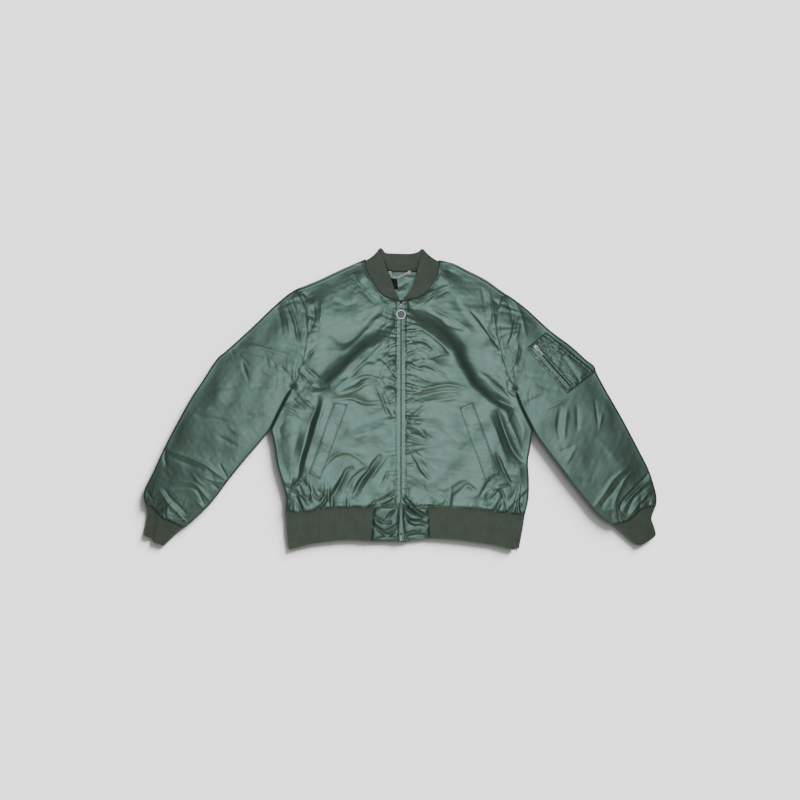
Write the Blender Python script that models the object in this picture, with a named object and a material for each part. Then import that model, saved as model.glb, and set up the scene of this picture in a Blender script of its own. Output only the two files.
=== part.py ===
"""Padded satin bomber jacket with knit collar, cuffs and waistband, zipped up and laid flat on its back.

The tables are in millimetres: x to the right, y towards the collar, z up from the surface that the jacket
lies on. The wearer's left is at +x. Each cloth piece is a closed wall between an outer and an inner sheet
of points, and each height is worked out from the distance to the piece's own edges.
"""

import math

import bmesh
import bpy
import numpy as np
from mathutils import Matrix, Vector
from mathutils.bvhtree import BVHTree

MM = 0.001

# Gaps
SEAM_GAP = 0.3
CLOTH_LIFT = 0.6

# Heights of the padded body and sleeves
BACK_INSIDE = 6.0
FRONT_INSIDE = 9.0
FRONT_TOP = 17.0
SLEEVE_TOP = 18.0
SEAM_LEVEL = 7.5
SEAM_WALL = 3.0
SEAM_ALLOWANCE = 8.0
TOP_ROLL = 34.0
UNDER_ROLL = 13.0
LEAST_WALL = 2.4

# Heights of the knit waistband and cuffs
KNIT_WALL = 3.5
KNIT_FRONT_INSIDE = 7.0
KNIT_LEVEL = 5.25
KNIT_ROLL = 8.0
CUFF_WALL = 3.0
CUFF_UPPER_INSIDE = 6.2
CUFF_LEVEL = 4.6

# Stitched seams sink into the padding
SEAM_SINK = 4.0
SEAM_SINK_WIDTH = 9.0

# Zip
ZIP_X = 2.4
ZIP_TOP = 232.0
ZIP_BOTTOM = -335.0
TAPE_WIDTH = 13.0
TAPE_LEVEL = 7.3
TAPE_WALL = 1.2

# Gathers, each a ridge across a seam
GATHER_HEIGHT = 3.0
GATHER_LENGTH = 26.0
FRONT_GATHERS = {"right": 14, "left": 16}
CUFF_GATHERS = 12
PUCKER_HEIGHT = 1.6
PUCKER_REACH = 20.0
PUCKERS = 13

# Outlines in plan, x and y. The lines of a side run from the collar outwards or down.
NECK = {
    "right": [(-81, 329), (-78, 311), (-66, 283), (-51, 260), (-37, 246), (-20, 237), (-0.15, 232)],
    "left": [(91, 327), (90, 314), (81, 286), (68, 262), (48, 243), (31, 237), (4.95, 232)],
}
BACK_NECK = [(-81, 329), (-70, 318), (-50, 307.5), (-26, 301.5), (5, 299.5), (38, 301.5), (62, 308),
             (80, 318), (91, 327)]
SHOULDER = {
    "right": [(-81, 329), (-141, 303), (-190, 280), (-244, 258)],
    "left": [(91, 327), (127, 318), (157, 303), (202, 280), (235, 256), (248, 247)],
}
ARMHOLE = {
    "right": [(-244, 258), (-230, 230), (-219, 204), (-216, 167), (-220, 127), (-228, 89), (-240, 52),
              (-251, 31)],
    "left": [(248, 247), (235, 226), (228, 202), (226, 174), (229, 143), (240, 101), (253, 59), (270, 26)],
}
CREASE = {
    "right": [(-251, 31), (-269, 0), (-283, -28), (-304, -71)],
    "left": [(270, 26), (281, -7), (295, -38), (312, -72)],
}
SIDE = {
    "right": [(-304, -71), (-296, -108), (-289, -153), (-277, -195), (-268, -230), (-269, -263)],
    "left": [(312, -72), (306, -115), (301, -148), (303, -190), (302, -233), (294, -271)],
}
HEM_AT_RIB = {
    "right": [(-62, -251), (-113, -251), (-153, -251), (-193, -256), (-235, -261), (-269, -263)],
    "left": [(67, -253), (106, -251), (153, -254), (202, -258), (247, -264), (294, -271)],
}
HEM_AT_BLOCK = {
    "right": [(-0.15, -249), (-62, -251)],
    "left": [(4.95, -249), (67, -253)],
}
RIB_BOTTOM = {
    "right": [(-68, -334), (-118, -331), (-164, -334), (-212, -341), (-261, -354)],
    "left": [(71, -327), (118, -329), (176, -336), (223, -343), (269, -355)],
}
RIB_SIDE = {
    "right": [(-269, -263), (-266, -308), (-261, -354)],
    "left": [(294, -271), (282, -310), (269, -355)],
}
RIB_INNER = {
    "right": [(-62, -251), (-65, -292), (-68, -334)],
    "left": [(67, -253), (69, -290), (71, -327)],
}
BLOCK_BOTTOM = {
    "right": [(-0.15, -335), (-68, -334)],
    "left": [(4.95, -334), (71, -327)],
}
BACK_RIB_SIDE = {
    "right": [(-269, -263), (-266, -308), (-262, -352)],
    "left": [(294, -271), (288, -310), (280, -352)],
}
BACK_HEM = [(-269, -263), (-235, -260), (-190, -255), (-90, -251), (0, -250), (90, -251), (190, -256),
            (247, -263), (294, -271)]
BACK_RIB_BOTTOM = [(-262, -352), (-164, -333), (-60, -331), (60, -326), (176, -334), (280, -352)]
SLEEVE_OUTER = {
    "right": [(-244, 258), (-270, 241), (-306, 209), (-355, 162), (-407, 115), (-431, 94), (-463, 45),
              (-494, -2), (-545, -96), (-578, -167), (-598, -207), (-602, -230), (-598, -249)],
    "left": [(248, 247), (270, 233), (301, 209), (352, 162), (400, 126), (437, 93), (456, 78), (463, 60),
             (484, 21), (524, -49), (564, -125), (585, -167), (598, -207), (603, -230), (602, -251)],
}
SLEEVE_INNER = {
    "right": [(-304, -71), (-324, -96), (-364, -143), (-402, -190), (-437, -237), (-463, -264),
              (-484, -284), (-508, -303)],
    "left": [(312, -72), (327, -96), (362, -143), (397, -190), (435, -237), (454, -261), (477, -283),
             (498, -295)],
}
CUFF_SEAM = {
    "right": [(-598, -249), (-585, -252), (-573, -264), (-560, -277), (-540, -287), (-519, -297),
              (-508, -303)],
    "left": [(602, -251), (578, -255), (562, -262), (551, -273), (538, -283), (520, -291), (498, -295)],
}
CUFF_OUTER = {
    "right": [(-598, -249), (-595, -270), (-599, -298), (-604, -317)],
    "left": [(602, -251), (592, -280), (597, -298), (602, -315)],
}
CUFF_END = {
    "right": [(-604, -317), (-595, -323), (-585, -326), (-578, -336), (-566, -340), (-555, -345)],
    "left": [(602, -315), (598, -324), (583, -334), (566, -343), (552, -341)],
}
CUFF_INNER = {
    "right": [(-508, -303), (-517, -309), (-538, -329), (-555, -345)],
    "left": [(498, -295), (522, -315), (543, -334), (552, -341)],
}

# Folds: start x and y, end x and y, bow to the left of the run, half width, height (a trough is negative)
BODY_FOLDS = {
    "right": [
        (-228, 80, -181, 40, 0, 9, 3.5),
        (-184, 32, -40, 155, 0, 14, -6.0),
        (-165, 24, -49, 141, 0, 10, 3.5),
        (-169, 162, -7, 188, -15, 20, -4.0),
        (-129, 40, -38, 49, 4, 8, 2.5),
        (-141, 19, -47, 47, 5, 7, -2.5),
        (-165, 2, -12, -16, -5, 10, -3.0),
        (-195, 9, -247, -200, 0, 9, -5.5),
        (-160, -132, -85, -148, 8, 8, 2.5),
        (-129, -167, -164, -237, 5, 10, -4.0),
        (-47, -132, -113, -230, -8, 9, -4.0),
        (-38, -129, -94, -214, -6, 7, 2.5),
        (-230, -196, -262, -180, 0, 8, 3.0),
    ],
    "left": [
        (21, 233, 118, 268, -6, 7, 2.0),
        (28, 188, 143, 90, 14, 13, -6.0),
        (143, 90, 242, -21, -6, 12, -5.5),
        (26, 180, 103, 116, 8, 8, 3.0),
        (59, 207, 148, 162, 5, 8, -2.5),
        (28, 9, 164, 19, 12, 9, 4.0),
        (47, -7, 141, 2, -4, 8, 2.5),
        (21, 68, 118, 49, 14, 8, 2.5),
        (31, -132, 70, -190, 4, 8, -3.0),
        (228, -26, 287, -150, 0, 9, -3.5),
        (226, -125, 258, -202, 0, 8, -3.0),
        (207, 256, 219, 174, 0, 8, 3.0),
        (212, -233, 261, -204, 0, 8, 3.5),
    ],
}
SLEEVE_FOLDS = {
    "right": [
        (-371, 129, -228, 80, 8, 9, 4.0),
        (-266, 233, -237, 134, 4, 9, -3.5),
        (-350, 28, -284, 28, -3, 9, -2.5),
        (-482, -38, -388, -61, 4, 12, -2.5),
        (-548, -120, -407, -190, 8, 9, 4.5),
        (-536, -209, -461, -249, 6, 9, -4.0),
        (-564, -214, -503, -284, 0, 8, 4.0),
    ],
    "left": [
        (273, 197, 251, 122, 3, 8, -3.5),
        (277, 132, 256, 63, 0, 7, 3.0),
        (317, 35, 367, 26, 0, 9, -2.5),
        (331, -26, 395, 2, -4, 9, 3.0),
        (376, -21, 376, -96, 0, 9, -2.5),
        (456, -2, 465, -71, 0, 9, -3.0),
        (536, -160, 456, -254, 6, 8, 4.0),
        (583, -172, 515, -262, 6, 7, -4.5),
        (592, -190, 522, -262, 4, 6, 4.0),
    ],
}

# Collar stations: base x, y, z on the neck seam, then the free edge's x, y, z
COLLAR = [
    (-2.5, 233.5, 11.0, -3.2, 237.0, 12.5),
    (-20, 239.5, 11.5, -11, 253, 15.5),
    (-37, 248.5, 12.0, -18, 273, 19.0),
    (-50, 262, 12.0, -26, 291, 22.0),
    (-64, 284, 12.0, -34, 314, 24.0),
    (-75, 307, 11.4, -42, 336, 26.0),
    (-78.5, 320, 10.8, -47, 350, 27.0),
    (-75, 327, 9.2, -48, 353.5, 27.0),
    (-65, 320, 6.2, -44, 348, 26.0),
    (-50, 312, 4.5, -34, 342, 25.0),
    (-26, 304.5, 4.5, -20, 340.5, 24.0),
    (5, 302.5, 4.5, 4, 339.5, 24.0),
    (38, 304.5, 4.5, 28, 340, 24.0),
    (62, 312.5, 4.5, 43, 344.5, 25.0),
    (75, 319.5, 6.2, 50, 348, 26.0),
    (85, 325.5, 9.2, 54, 351.5, 27.0),
    (88, 318, 10.8, 54, 346, 27.0),
    (86, 306, 11.4, 48, 328, 26.0),
    (78, 285, 12.0, 41, 303, 24.0),
    (66, 263, 12.0, 34, 278, 22.0),
    (47, 246, 12.0, 24, 255, 18.5),
    (30, 240, 11.5, 16, 244, 15.5),
    (8.5, 234.8, 11.0, 8.5, 237.5, 12.5),
]
COLLAR_WALL = 2.6
COLLAR_SEAT = 1.6

# Slanted pocket welts, and the sleeve pocket with its pen pocket and tab, as four corners in plan
WELT = {
    "right": [(-122, -13), (-155, -8), (-214, -175), (-187, -189)],
    "left": [(139, -21), (171, -8), (235, -179), (203, -198)],
}
WELT_WALL = 1.8
SLEEVE_POCKET = [(296, 119), (343, 157), (457, 64), (391, 13)]
SLEEVE_POCKET_WALL = 1.8
PEN_POCKET = [(378, 101), (393, 111), (450, 66), (422, 37)]
PEN_POCKET_WALL = 1.6
POCKET_TAB = [(351, 131), (364, 138), (384, 121), (368, 112)]
POCKET_ZIP = [(314, 126), (400, 30)]
POCKET_TAPE_WIDTH = 6.0
POCKET_TAPE_WALL = 1.0

# Inside the neck
LINING = [(-42, 300), (46, 300), (8, 240), (-2, 240)]
LINING_LEVEL = 6.3
LINING_WALL = 1.2
BINDING = [(-30, 299.5), (40, 299.5), (38, 291), (-28, 291)]
BINDING_WALL = 1.2
LABEL = [(-24, 286), (-6, 284), (0, 262), (-18, 260)]
LABEL_WALL = 0.8
CHAIN_PATH = [(-24, 297), (-20, 290), (-13, 286), (-3, 287), (8, 292), (22, 298)]
CHAIN_LEVEL = 10.6
CHAIN_LINKS = 13
CHAIN_RADIUS = 1.3
CHAIN_WAIST = 0.6

# Slider and pull, in the slider's own frame: the pull hangs towards -y
SLIDER_PLATE = (8.6, 17.0, 1.6)
SLIDER_NECK = (4.2, 12.0, 4.9)
BRIDGE_RADIUS = 3.2
WIRE = 0.8
EYE_RADIUS = 2.1
PULL_RADIUS = 11.0
PULL_LEVEL = 18.6
SLIDER_Y = 215.0
POCKET_PULL_LENGTH = 17.0
POCKET_PULL_WIDTH = 5.0
POCKET_PULL_TILT = 6.0
POCKET_HINGE_LIFT = 3.7

COLOURS = {
    "satin": ((0.37, 0.48, 0.44), 0.35, 0.0),
    "knit": ((0.29, 0.34, 0.29), 0.9, 0.0),
    "lining": ((0.42, 0.55, 0.50), 0.4, 0.0),
    "tape": ((0.27, 0.34, 0.31), 0.8, 0.0),
    "metal": ((0.72, 0.73, 0.74), 0.3, 1.0),
    "label": ((0.05, 0.06, 0.07), 0.7, 0.0),
}
FACETS = 6


# Lines and patches

def smooth_line(points, steps=6):
    """Catmull-Rom line through the points, with this many steps between each two."""
    p = np.asarray(points, float)
    q = np.vstack([2 * p[0] - p[1], p, 2 * p[-1] - p[-2]])
    t = np.linspace(0, 1, steps, endpoint=False)[:, None]
    spans = [
        0.5 * (2 * b + (c - a) * t + (2 * a - 5 * b + 4 * c - d) * t**2 + (3 * b - 3 * c + d - a) * t**3)
        for a, b, c, d in zip(q, q[1:], q[2:], q[3:])
    ]
    return np.vstack(spans + [p[-1:]])


def edge(*tables):
    """One line through several outlines that meet at corners."""
    lines = [smooth_line(table) for table in tables]
    return np.vstack(lines[:1] + [line[1:] for line in lines[1:]])


def along(line, fractions):
    """Points at these fractions of the line's length."""
    steps = np.linalg.norm(np.diff(line, axis=0), axis=1)
    reach = np.concatenate([[0.0], np.cumsum(steps)])
    at = np.asarray(fractions, float) * reach[-1]
    return np.stack([np.interp(at, reach, line[:, k]) for k in range(line.shape[1])], axis=-1)


def nearest_on(points, line):
    """The nearest place on the line to each point in plan, and the line's left normal there."""
    start, run = line[:-1], np.diff(line, axis=0)
    t = np.clip(((points[:, None] - start) * run).sum(2) / (run**2).sum(1), 0, 1)
    places = start + t[..., None] * run
    pick = np.linalg.norm(points[:, None] - places, axis=2).argmin(1)
    normal = np.stack([-run[:, 1], run[:, 0]], axis=1) / np.linalg.norm(run, axis=1)[:, None]
    return places[np.arange(len(points)), pick], normal[pick]


def distance(points, line):
    """Least distance in plan from each point to the line."""
    return np.linalg.norm(points - nearest_on(points, line)[0], axis=1)


def keep_off(points, line, inside, gap, reach=6.0):
    """Moves points close to a seam line back to the side of it that the inside point is on."""
    places, normal = nearest_on(points, line)
    inner_place, inner_normal = nearest_on(inside, line)
    normal = normal * np.sign(((inside - inner_place) * inner_normal).sum())
    off = ((points - places) * normal).sum(1)
    near = (off < gap) & (np.linalg.norm(points - places, axis=1) < reach)
    return np.where(near[:, None], places + normal * gap, points)


class Patch:
    """Coons patch between four lines: u runs along the top and bottom, v along the start and end."""

    def __init__(self, top, bottom, start, end):
        self.top, self.bottom, self.start, self.end = top, bottom, start, end

    def place(self, u, v):
        u = np.asarray(u, float)
        v = np.broadcast_to(np.asarray(v, float), u.shape)
        uu, vv = u[:, None], v[:, None]
        across = (1 - vv) * along(self.top, u) + vv * along(self.bottom, u)
        down = (1 - uu) * along(self.start, v) + uu * along(self.end, v)
        corners = (1 - vv) * ((1 - uu) * self.top[0] + uu * self.top[-1])
        corners = corners + vv * ((1 - uu) * self.bottom[0] + uu * self.bottom[-1])
        return across + down - corners


def crowd_ends(count, share=0.6):
    """Fractions from 0 to 1 that lie closer together at both ends."""
    t = np.linspace(0, 1, count)
    return t - share * np.sin(2 * math.pi * t) / (2 * math.pi)


def ease(t):
    t = np.clip(t, 0, 1)
    return t * t * (3 - 2 * t)


# Heights

def roll(off, radius, drop):
    """How far a rounded edge has dropped at this distance from the edge line."""
    t = 1 - np.clip(off / radius, 0, 1)
    return drop * (1 - np.sqrt(1 - t * t))


def sink(off, depth=SEAM_SINK, width=SEAM_SINK_WIDTH):
    return depth * np.exp(-((off / width) ** 2))


def folds(points, table):
    """Height of the folds: each is a bowed ridge or trough that fades at its ends."""
    height = np.zeros(len(points))
    for x0, y0, x1, y1, bow, width, rise in table:
        run = np.array([x1 - x0, y1 - y0], float)
        length = np.hypot(*run)
        ahead = run / length
        left = np.array([-ahead[1], ahead[0]])
        away = points - (x0, y0)
        t = away @ ahead / length
        held = np.clip(t, 0, 1)
        off = away @ left - 4 * bow * held * (1 - held)
        past = (t - held) * length
        taper = 0.3 + 0.7 * np.sin(math.pi * held) ** 0.7
        height += rise * taper * np.exp(-((off / width) ** 2) - (past / width) ** 2)
    return height


def gathers(across, off, count, height=GATHER_HEIGHT, length=GATHER_LENGTH):
    """Ridges across a seam: across is 0 to 1 along it, off is the distance from it."""
    wave = 0.5 - 0.5 * np.cos(2 * math.pi * count * across)
    uneven = 0.75 + 0.25 * np.sin(17.0 * across + 2.0 * count)
    return height * wave * uneven * np.clip(1 - off / (length * uneven), 0, 1) ** 1.5


class Body:
    """Plan and heights of one half of the front and of its sleeve."""

    def __init__(self, side):
        self.side = side
        self.zip_x = HEM_AT_BLOCK[side][0][0]
        self.zip_line = np.array([NECK[side][-1], HEM_AT_BLOCK[side][0]], float)
        self.neck = smooth_line(NECK[side])
        self.armhole = smooth_line(ARMHOLE[side])
        self.hem = edge(HEM_AT_BLOCK[side], HEM_AT_RIB[side])
        self.outside = edge(CREASE[side], SIDE[side])
        self.sleeve_seam = edge(ARMHOLE[side], CREASE[side])
        self.shoulder = smooth_line(SHOULDER[side])
        self.patch = Patch(
            self.shoulder,
            self.hem,
            np.vstack([self.neck, self.zip_line]),
            np.vstack([self.armhole, self.outside]),
        )
        self.sleeve_outer = smooth_line(SLEEVE_OUTER[side])
        self.sleeve_inner = edge(CREASE[side], SLEEVE_INNER[side])
        self.cuff_seam = smooth_line(CUFF_SEAM[side])
        self.sleeve = Patch(self.armhole, self.cuff_seam, self.sleeve_outer, self.sleeve_inner)

    def rim_distance(self, points):
        return np.minimum(distance(points, self.shoulder), distance(points, self.outside))

    def front_outside(self, points):
        rim = self.rim_distance(points)
        hem, zip_off = distance(points, self.hem), distance(points, self.zip_line)
        seams = np.maximum.reduce([
            sink(distance(points, self.armhole)),
            sink(distance(points, self.neck)),
            sink(hem),
            sink(zip_off, SEAM_SINK, 6.0),
        ])
        loft = ease(np.minimum(rim, distance(points, self.armhole) + 8) / 30)
        hem_share = np.abs(points[:, 0] - self.zip_x) / abs(self.hem[-1, 0] - self.zip_x)
        zip_share = (ZIP_TOP - points[:, 1]) / (ZIP_TOP - self.hem[0, 1])
        pucker = 0.5 - 0.5 * np.cos(2 * math.pi * PUCKERS * zip_share)
        height = FRONT_TOP + loft * folds(points, BODY_FOLDS[self.side]) - seams
        height += ease(rim / 20) * gathers(hem_share, hem, FRONT_GATHERS[self.side])
        height += PUCKER_HEIGHT * pucker * np.exp(-((zip_off / PUCKER_REACH) ** 2)) * ease(zip_off / 6)
        height -= roll(rim, TOP_ROLL, FRONT_TOP - SEAM_LEVEL - SEAM_WALL - SEAM_GAP / 2)
        return np.maximum(height, self.front_inside(points) + LEAST_WALL)

    def front_inside(self, points):
        rest = FRONT_INSIDE - SEAM_LEVEL - SEAM_GAP / 2
        return FRONT_INSIDE - rest * (1 - ease((self.rim_distance(points) - SEAM_ALLOWANCE) / 12))

    def sleeve_rim(self, points):
        return np.minimum(distance(points, self.sleeve_outer), distance(points, self.sleeve_inner))

    def sleeve_over(self, points):
        rim = self.sleeve_rim(points)
        cuff = distance(points, self.cuff_seam)
        seams = np.maximum(sink(distance(points, self.armhole)), sink(cuff, 5.0, 12.0))
        start, end = self.cuff_seam[0], self.cuff_seam[-1]
        share = ((points - start) @ (end - start)) / ((end - start) @ (end - start))
        height = SLEEVE_TOP + ease(rim / 26) * folds(points, SLEEVE_FOLDS[self.side]) - seams
        height += ease(rim / 16) * gathers(share, cuff, CUFF_GATHERS, 3.2, 34.0)
        height -= roll(rim, TOP_ROLL, SLEEVE_TOP - SEAM_LEVEL)
        return np.maximum(height, np.minimum(SEAM_LEVEL + rim, FRONT_INSIDE + LEAST_WALL))

    def sleeve_under(self, points):
        return roll(self.sleeve_rim(points), UNDER_ROLL, SEAM_LEVEL)


BODIES = {side: Body(side) for side in ("right", "left")}
BACK_TOP = edge(SHOULDER["right"][::-1], BACK_NECK, SHOULDER["left"])
BACK_BOTTOM = smooth_line(BACK_HEM)
BACK_PATCH = Patch(BACK_TOP, BACK_BOTTOM, BODIES["right"].patch.end, BODIES["left"].patch.end)


def back_rim(points):
    return np.minimum(BODIES["right"].rim_distance(points), BODIES["left"].rim_distance(points))


def back_outside(points):
    return roll(back_rim(points), UNDER_ROLL, SEAM_LEVEL - SEAM_WALL - SEAM_GAP / 2)


def back_inside(points):
    rest = SEAM_LEVEL - SEAM_GAP / 2 - BACK_INSIDE
    return BACK_INSIDE + rest * (1 - ease((back_rim(points) - SEAM_ALLOWANCE) / 12))


# Closed walls

class Wall:
    """Collects points and zips rows of them together. A row is a list of (place along it, point index)."""

    def __init__(self):
        self.points = []
        self.faces = []

    def row(self, places, plan, heights):
        first = len(self.points)
        self.points += [(x, y, z) for (x, y), z in zip(plan, heights)]
        return [(place, first + k) for k, place in enumerate(places)]

    def zip_rows(self, one, other):
        i = j = 0
        while i < len(one) - 1 or j < len(other) - 1:
            one_next = one[i + 1][0] if i < len(one) - 1 else math.inf
            other_next = other[j + 1][0] if j < len(other) - 1 else math.inf
            if one_next <= other_next:
                self.faces.append((one[i][1], one[i + 1][1], other[j][1]))
                i += 1
            else:
                self.faces.append((one[i][1], other[j + 1][1], other[j][1]))
                j += 1

    def zip_sheet(self, rows):
        for one, other in zip(rows, rows[1:]):
            self.zip_rows(one, other)

    def finish(self, name, colour, parent=None, smooth=True):
        made = bmesh.new()
        corners = [made.verts.new(Vector(point) * MM) for point in self.points]
        for face in self.faces:
            if len(set(face)) == 3:
                made.faces.new([corners[k] for k in face])
        bmesh.ops.recalc_face_normals(made, faces=made.faces)
        return mesh_object(name, made, colour, parent, smooth)


def mesh_object(name, made, colour, parent=None, smooth=True):
    mesh = bpy.data.meshes.new(name)
    made.to_mesh(mesh)
    made.free()
    if smooth:
        mesh.shade_smooth()
        mesh.set_sharp_from_angle(angle=math.radians(50))
    obj = bpy.data.objects.new(name, mesh)
    bpy.context.scene.collection.objects.link(obj)
    mesh.materials.append(material(colour))
    obj.parent = parent
    return obj


def border(rows, places):
    """The closed loop round a sheet's rows, with its place from 0 to 4."""
    loop = [(place, index) for place, index in rows[0]]
    loop += [(1 + v, row[-1][1]) for v, row in zip(places[1:], rows[1:])]
    loop += [(3 - place, index) for place, index in rows[-1][-2::-1]]
    loop += [(4 - v, row[0][1]) for v, row in zip(places[-2:0:-1], rows[-2:0:-1])]
    return loop + [(4.0, loop[0][1])]


def panel(name, patch, top, under, top_rows, under_rows, colour, parent, inset=SEAM_GAP / 2, seams=(),
          crowding=0.6):
    """A wall on a patch. Rows are (v, number of points); top and under give the heights."""
    wall = Wall()
    inset_u = inset / np.linalg.norm(np.diff(patch.top, axis=0), axis=1).sum()
    inset_v = inset / np.linalg.norm(np.diff(patch.start, axis=0), axis=1).sum()
    loops = []
    for height, rows in ((top, top_rows), (under, under_rows)):
        sheet = []
        for v, count in rows:
            places = crowd_ends(count, crowding)
            plan = patch.place(inset_u + places * (1 - 2 * inset_u), inset_v + v * (1 - 2 * inset_v))
            for line in seams:
                plan = keep_off(plan, line, patch.place([0.5], 0.5), max(inset, SEAM_GAP / 2))
            sheet.append(wall.row(places, plan, height(plan)))
        wall.zip_sheet(sheet)
        loops.append(border(sheet, [v for v, count in rows]))
    wall.zip_rows(*loops)
    return wall.finish(name, colour, parent)


def tube(name, patch, over, under, inner_over, inner_under, rows, inner_rows, wall_width, colour, parent,
         seams=(), inset=SEAM_GAP / 2):
    """A flattened tube on a patch, open at both ends: an outer and an inner sleeve of rings."""
    wall = Wall()
    inset_v = inset / np.linalg.norm(np.diff(patch.start, axis=0), axis=1).sum()
    ends = []
    outside = ((over, under), rows, 0.5)
    inside = ((inner_over, inner_under), inner_rows, wall_width)
    for heights, table, margin in (outside, inside):
        rings = []
        for v, upper_count, under_count in table:
            at = inset_v + v * (1 - 2 * inset_v)
            width = np.linalg.norm(np.subtract(*patch.place([0.0, 1.0], at)))
            edge_u = min(margin / width, 0.3)
            upper = (1 - np.cos(np.linspace(0, math.pi, upper_count))) / 2
            lower = (1 - np.cos(np.linspace(math.pi, 0, under_count))) / 2
            upper_plan = patch.place(edge_u + upper * (1 - 2 * edge_u), at)
            lower_plan = patch.place(edge_u + lower * (1 - 2 * edge_u), at)[1:-1]
            for line in seams:
                middle = patch.place([0.5], 0.5)
                upper_plan = keep_off(upper_plan, line, middle, inset)
                lower_plan = keep_off(lower_plan, line, middle, inset)
            plan = np.vstack([upper_plan, lower_plan])
            height = np.concatenate([heights[0](upper_plan), heights[1](lower_plan)])
            ring = wall.row(np.concatenate([upper, 2 - lower[1:-1]]), plan, height)
            rings.append(ring + [(2.0, ring[0][1])])
        wall.zip_sheet(rings)
        ends.append((rings[0], rings[-1]))
    wall.zip_rows(ends[0][0], ends[1][0])
    wall.zip_rows(ends[0][1], ends[1][1])
    return wall.finish(name, colour, parent)


def rows_of(count, points, extra=()):
    """Rows of one point count, with extra (v, points) rows at the end for gathers."""
    last = extra[0][0] if extra else 1.0
    plain = [(v * last, points) for v in crowd_ends(count, 0.4)]
    return (plain[:-1] + list(extra)) if extra else plain


def flat(level):
    return lambda points: np.full(len(points), float(level))


def quad_patch(corners):
    """Patch on four corners, given round the piece."""
    a, b, c, d = (np.asarray(corner, float) for corner in corners)
    return Patch(np.array([a, b]), np.array([d, c]), np.array([a, d]), np.array([b, c]))


def laid_on(obj, lift=CLOTH_LIFT):
    """Height just above an object, as a function of the plan."""
    graph = bpy.context.evaluated_depsgraph_get()
    tree = BVHTree.FromObject(obj, graph)

    def height(points):
        hits = [tree.ray_cast(Vector((x * MM, y * MM, 1.0)), Vector((0, 0, -1)))[0] for x, y in points]
        return np.array([hit.z / MM + lift for hit in hits])

    return height


def strip(name, corners, under, thickness, columns, rows, colour, parent):
    """A flat piece on four corners, lying at the heights that under gives."""
    table = [(v, columns) for v in np.linspace(0, 1, rows)]

    def top(points):
        return under(points) + thickness

    return panel(name, quad_patch(corners), top, under, table, table, colour, parent, inset=0.0)


# Hardware

def lathe(made, profile, sides, turn=Matrix.Identity(4)):
    """Adds a turned solid: the profile is (radius, height) pairs from the axis to the axis."""
    rings = []
    for radius, height in profile:
        if radius < 1e-6:
            rings.append([made.verts.new(turn @ Vector((0, 0, height * MM)))])
            continue
        angles = [2 * math.pi * k / sides for k in range(sides)]
        ring = [Vector((radius * math.cos(a), radius * math.sin(a), height)) * MM for a in angles]
        rings.append([made.verts.new(turn @ point) for point in ring])
    for low, high in zip(rings, rings[1:]):
        for k in range(sides):
            corners = [low[k % len(low)], low[(k + 1) % len(low)]]
            corners += [high[(k + 1) % len(high)], high[k % len(high)]]
            made.faces.new(list(dict.fromkeys(corners)))
    bmesh.ops.recalc_face_normals(made, faces=made.faces)


def sweep(made, path, radii, sides=FACETS, closed=False):
    """Adds a round bar along the path, in millimetres, with one radius for each point."""
    path = [Vector(point) for point in path]
    count = len(path)
    rings = []
    side = None
    for k, point in enumerate(path):
        before = path[k - 1] if (k or closed) else point
        after = path[(k + 1) % count] if (k < count - 1 or closed) else point
        ahead = (after - before).normalized()
        if side is None:
            side = ahead.orthogonal().normalized()
        side = (side - ahead * side.dot(ahead)).normalized()
        up = ahead.cross(side)
        angles = [2 * math.pi * n / sides for n in range(sides)]
        ring = [point + (side * math.cos(a) + up * math.sin(a)) * radii[k] for a in angles]
        rings.append([made.verts.new(corner * MM) for corner in ring])
    pairs = list(zip(rings, rings[1:] + (rings[:1] if closed else [])))
    for low, high in pairs:
        for n in range(sides):
            made.faces.new((low[n], low[(n + 1) % sides], high[(n + 1) % sides], high[n]))
    if not closed:
        made.faces.new(rings[0][::-1])
        made.faces.new(rings[-1])
    bmesh.ops.recalc_face_normals(made, faces=made.faces)


def ring_path(radius, centre=(0, 0, 0), count=12):
    angles = [2 * math.pi * k / count for k in range(count)]
    return [(centre[0] + radius * math.cos(a), centre[1] + radius * math.sin(a), centre[2]) for a in angles]


def box(made, size, centre, bevel=0.4):
    turn = Matrix.Translation(Vector(centre) * MM) @ Matrix.Diagonal(Vector((*size, 1000.0)) * MM)
    added = bmesh.ops.create_cube(made, size=1.0, matrix=turn)["verts"]
    edges = {e for vert in added for e in vert.link_edges}
    bmesh.ops.bevel(made, geom=list(edges), offset=bevel * MM, segments=1, affect="EDGES")


def joined(name, shapes, colour, parent):
    """One solid from several: the first keeps the name, the rest are hidden cutters united with it."""
    solid = mesh_object(name, shapes[0], colour, parent)
    for number, shape in enumerate(shapes[1:]):
        helper = mesh_object(f"{name}_with_{number}", shape, colour, parent)
        helper.hide_render = True
        helper.display_type = "WIRE"
        union = solid.modifiers.new("union", "BOOLEAN")
        union.operation = "UNION"
        union.object = helper
    return solid


def shape_of(build, *values, **named):
    made = bmesh.new()
    build(made, *values, **named)
    return made


def bridge_path(leg):
    """An arch of wire over the slider: a half circle on two legs that end at this height."""
    arc = [math.pi * k / 8 for k in range(9)]
    top = [(0, BRIDGE_RADIUS * math.cos(a), BRIDGE_RADIUS * math.sin(a)) for a in arc]
    return [(0, BRIDGE_RADIUS, leg)] + top + [(0, -BRIDGE_RADIUS, leg)]


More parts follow.
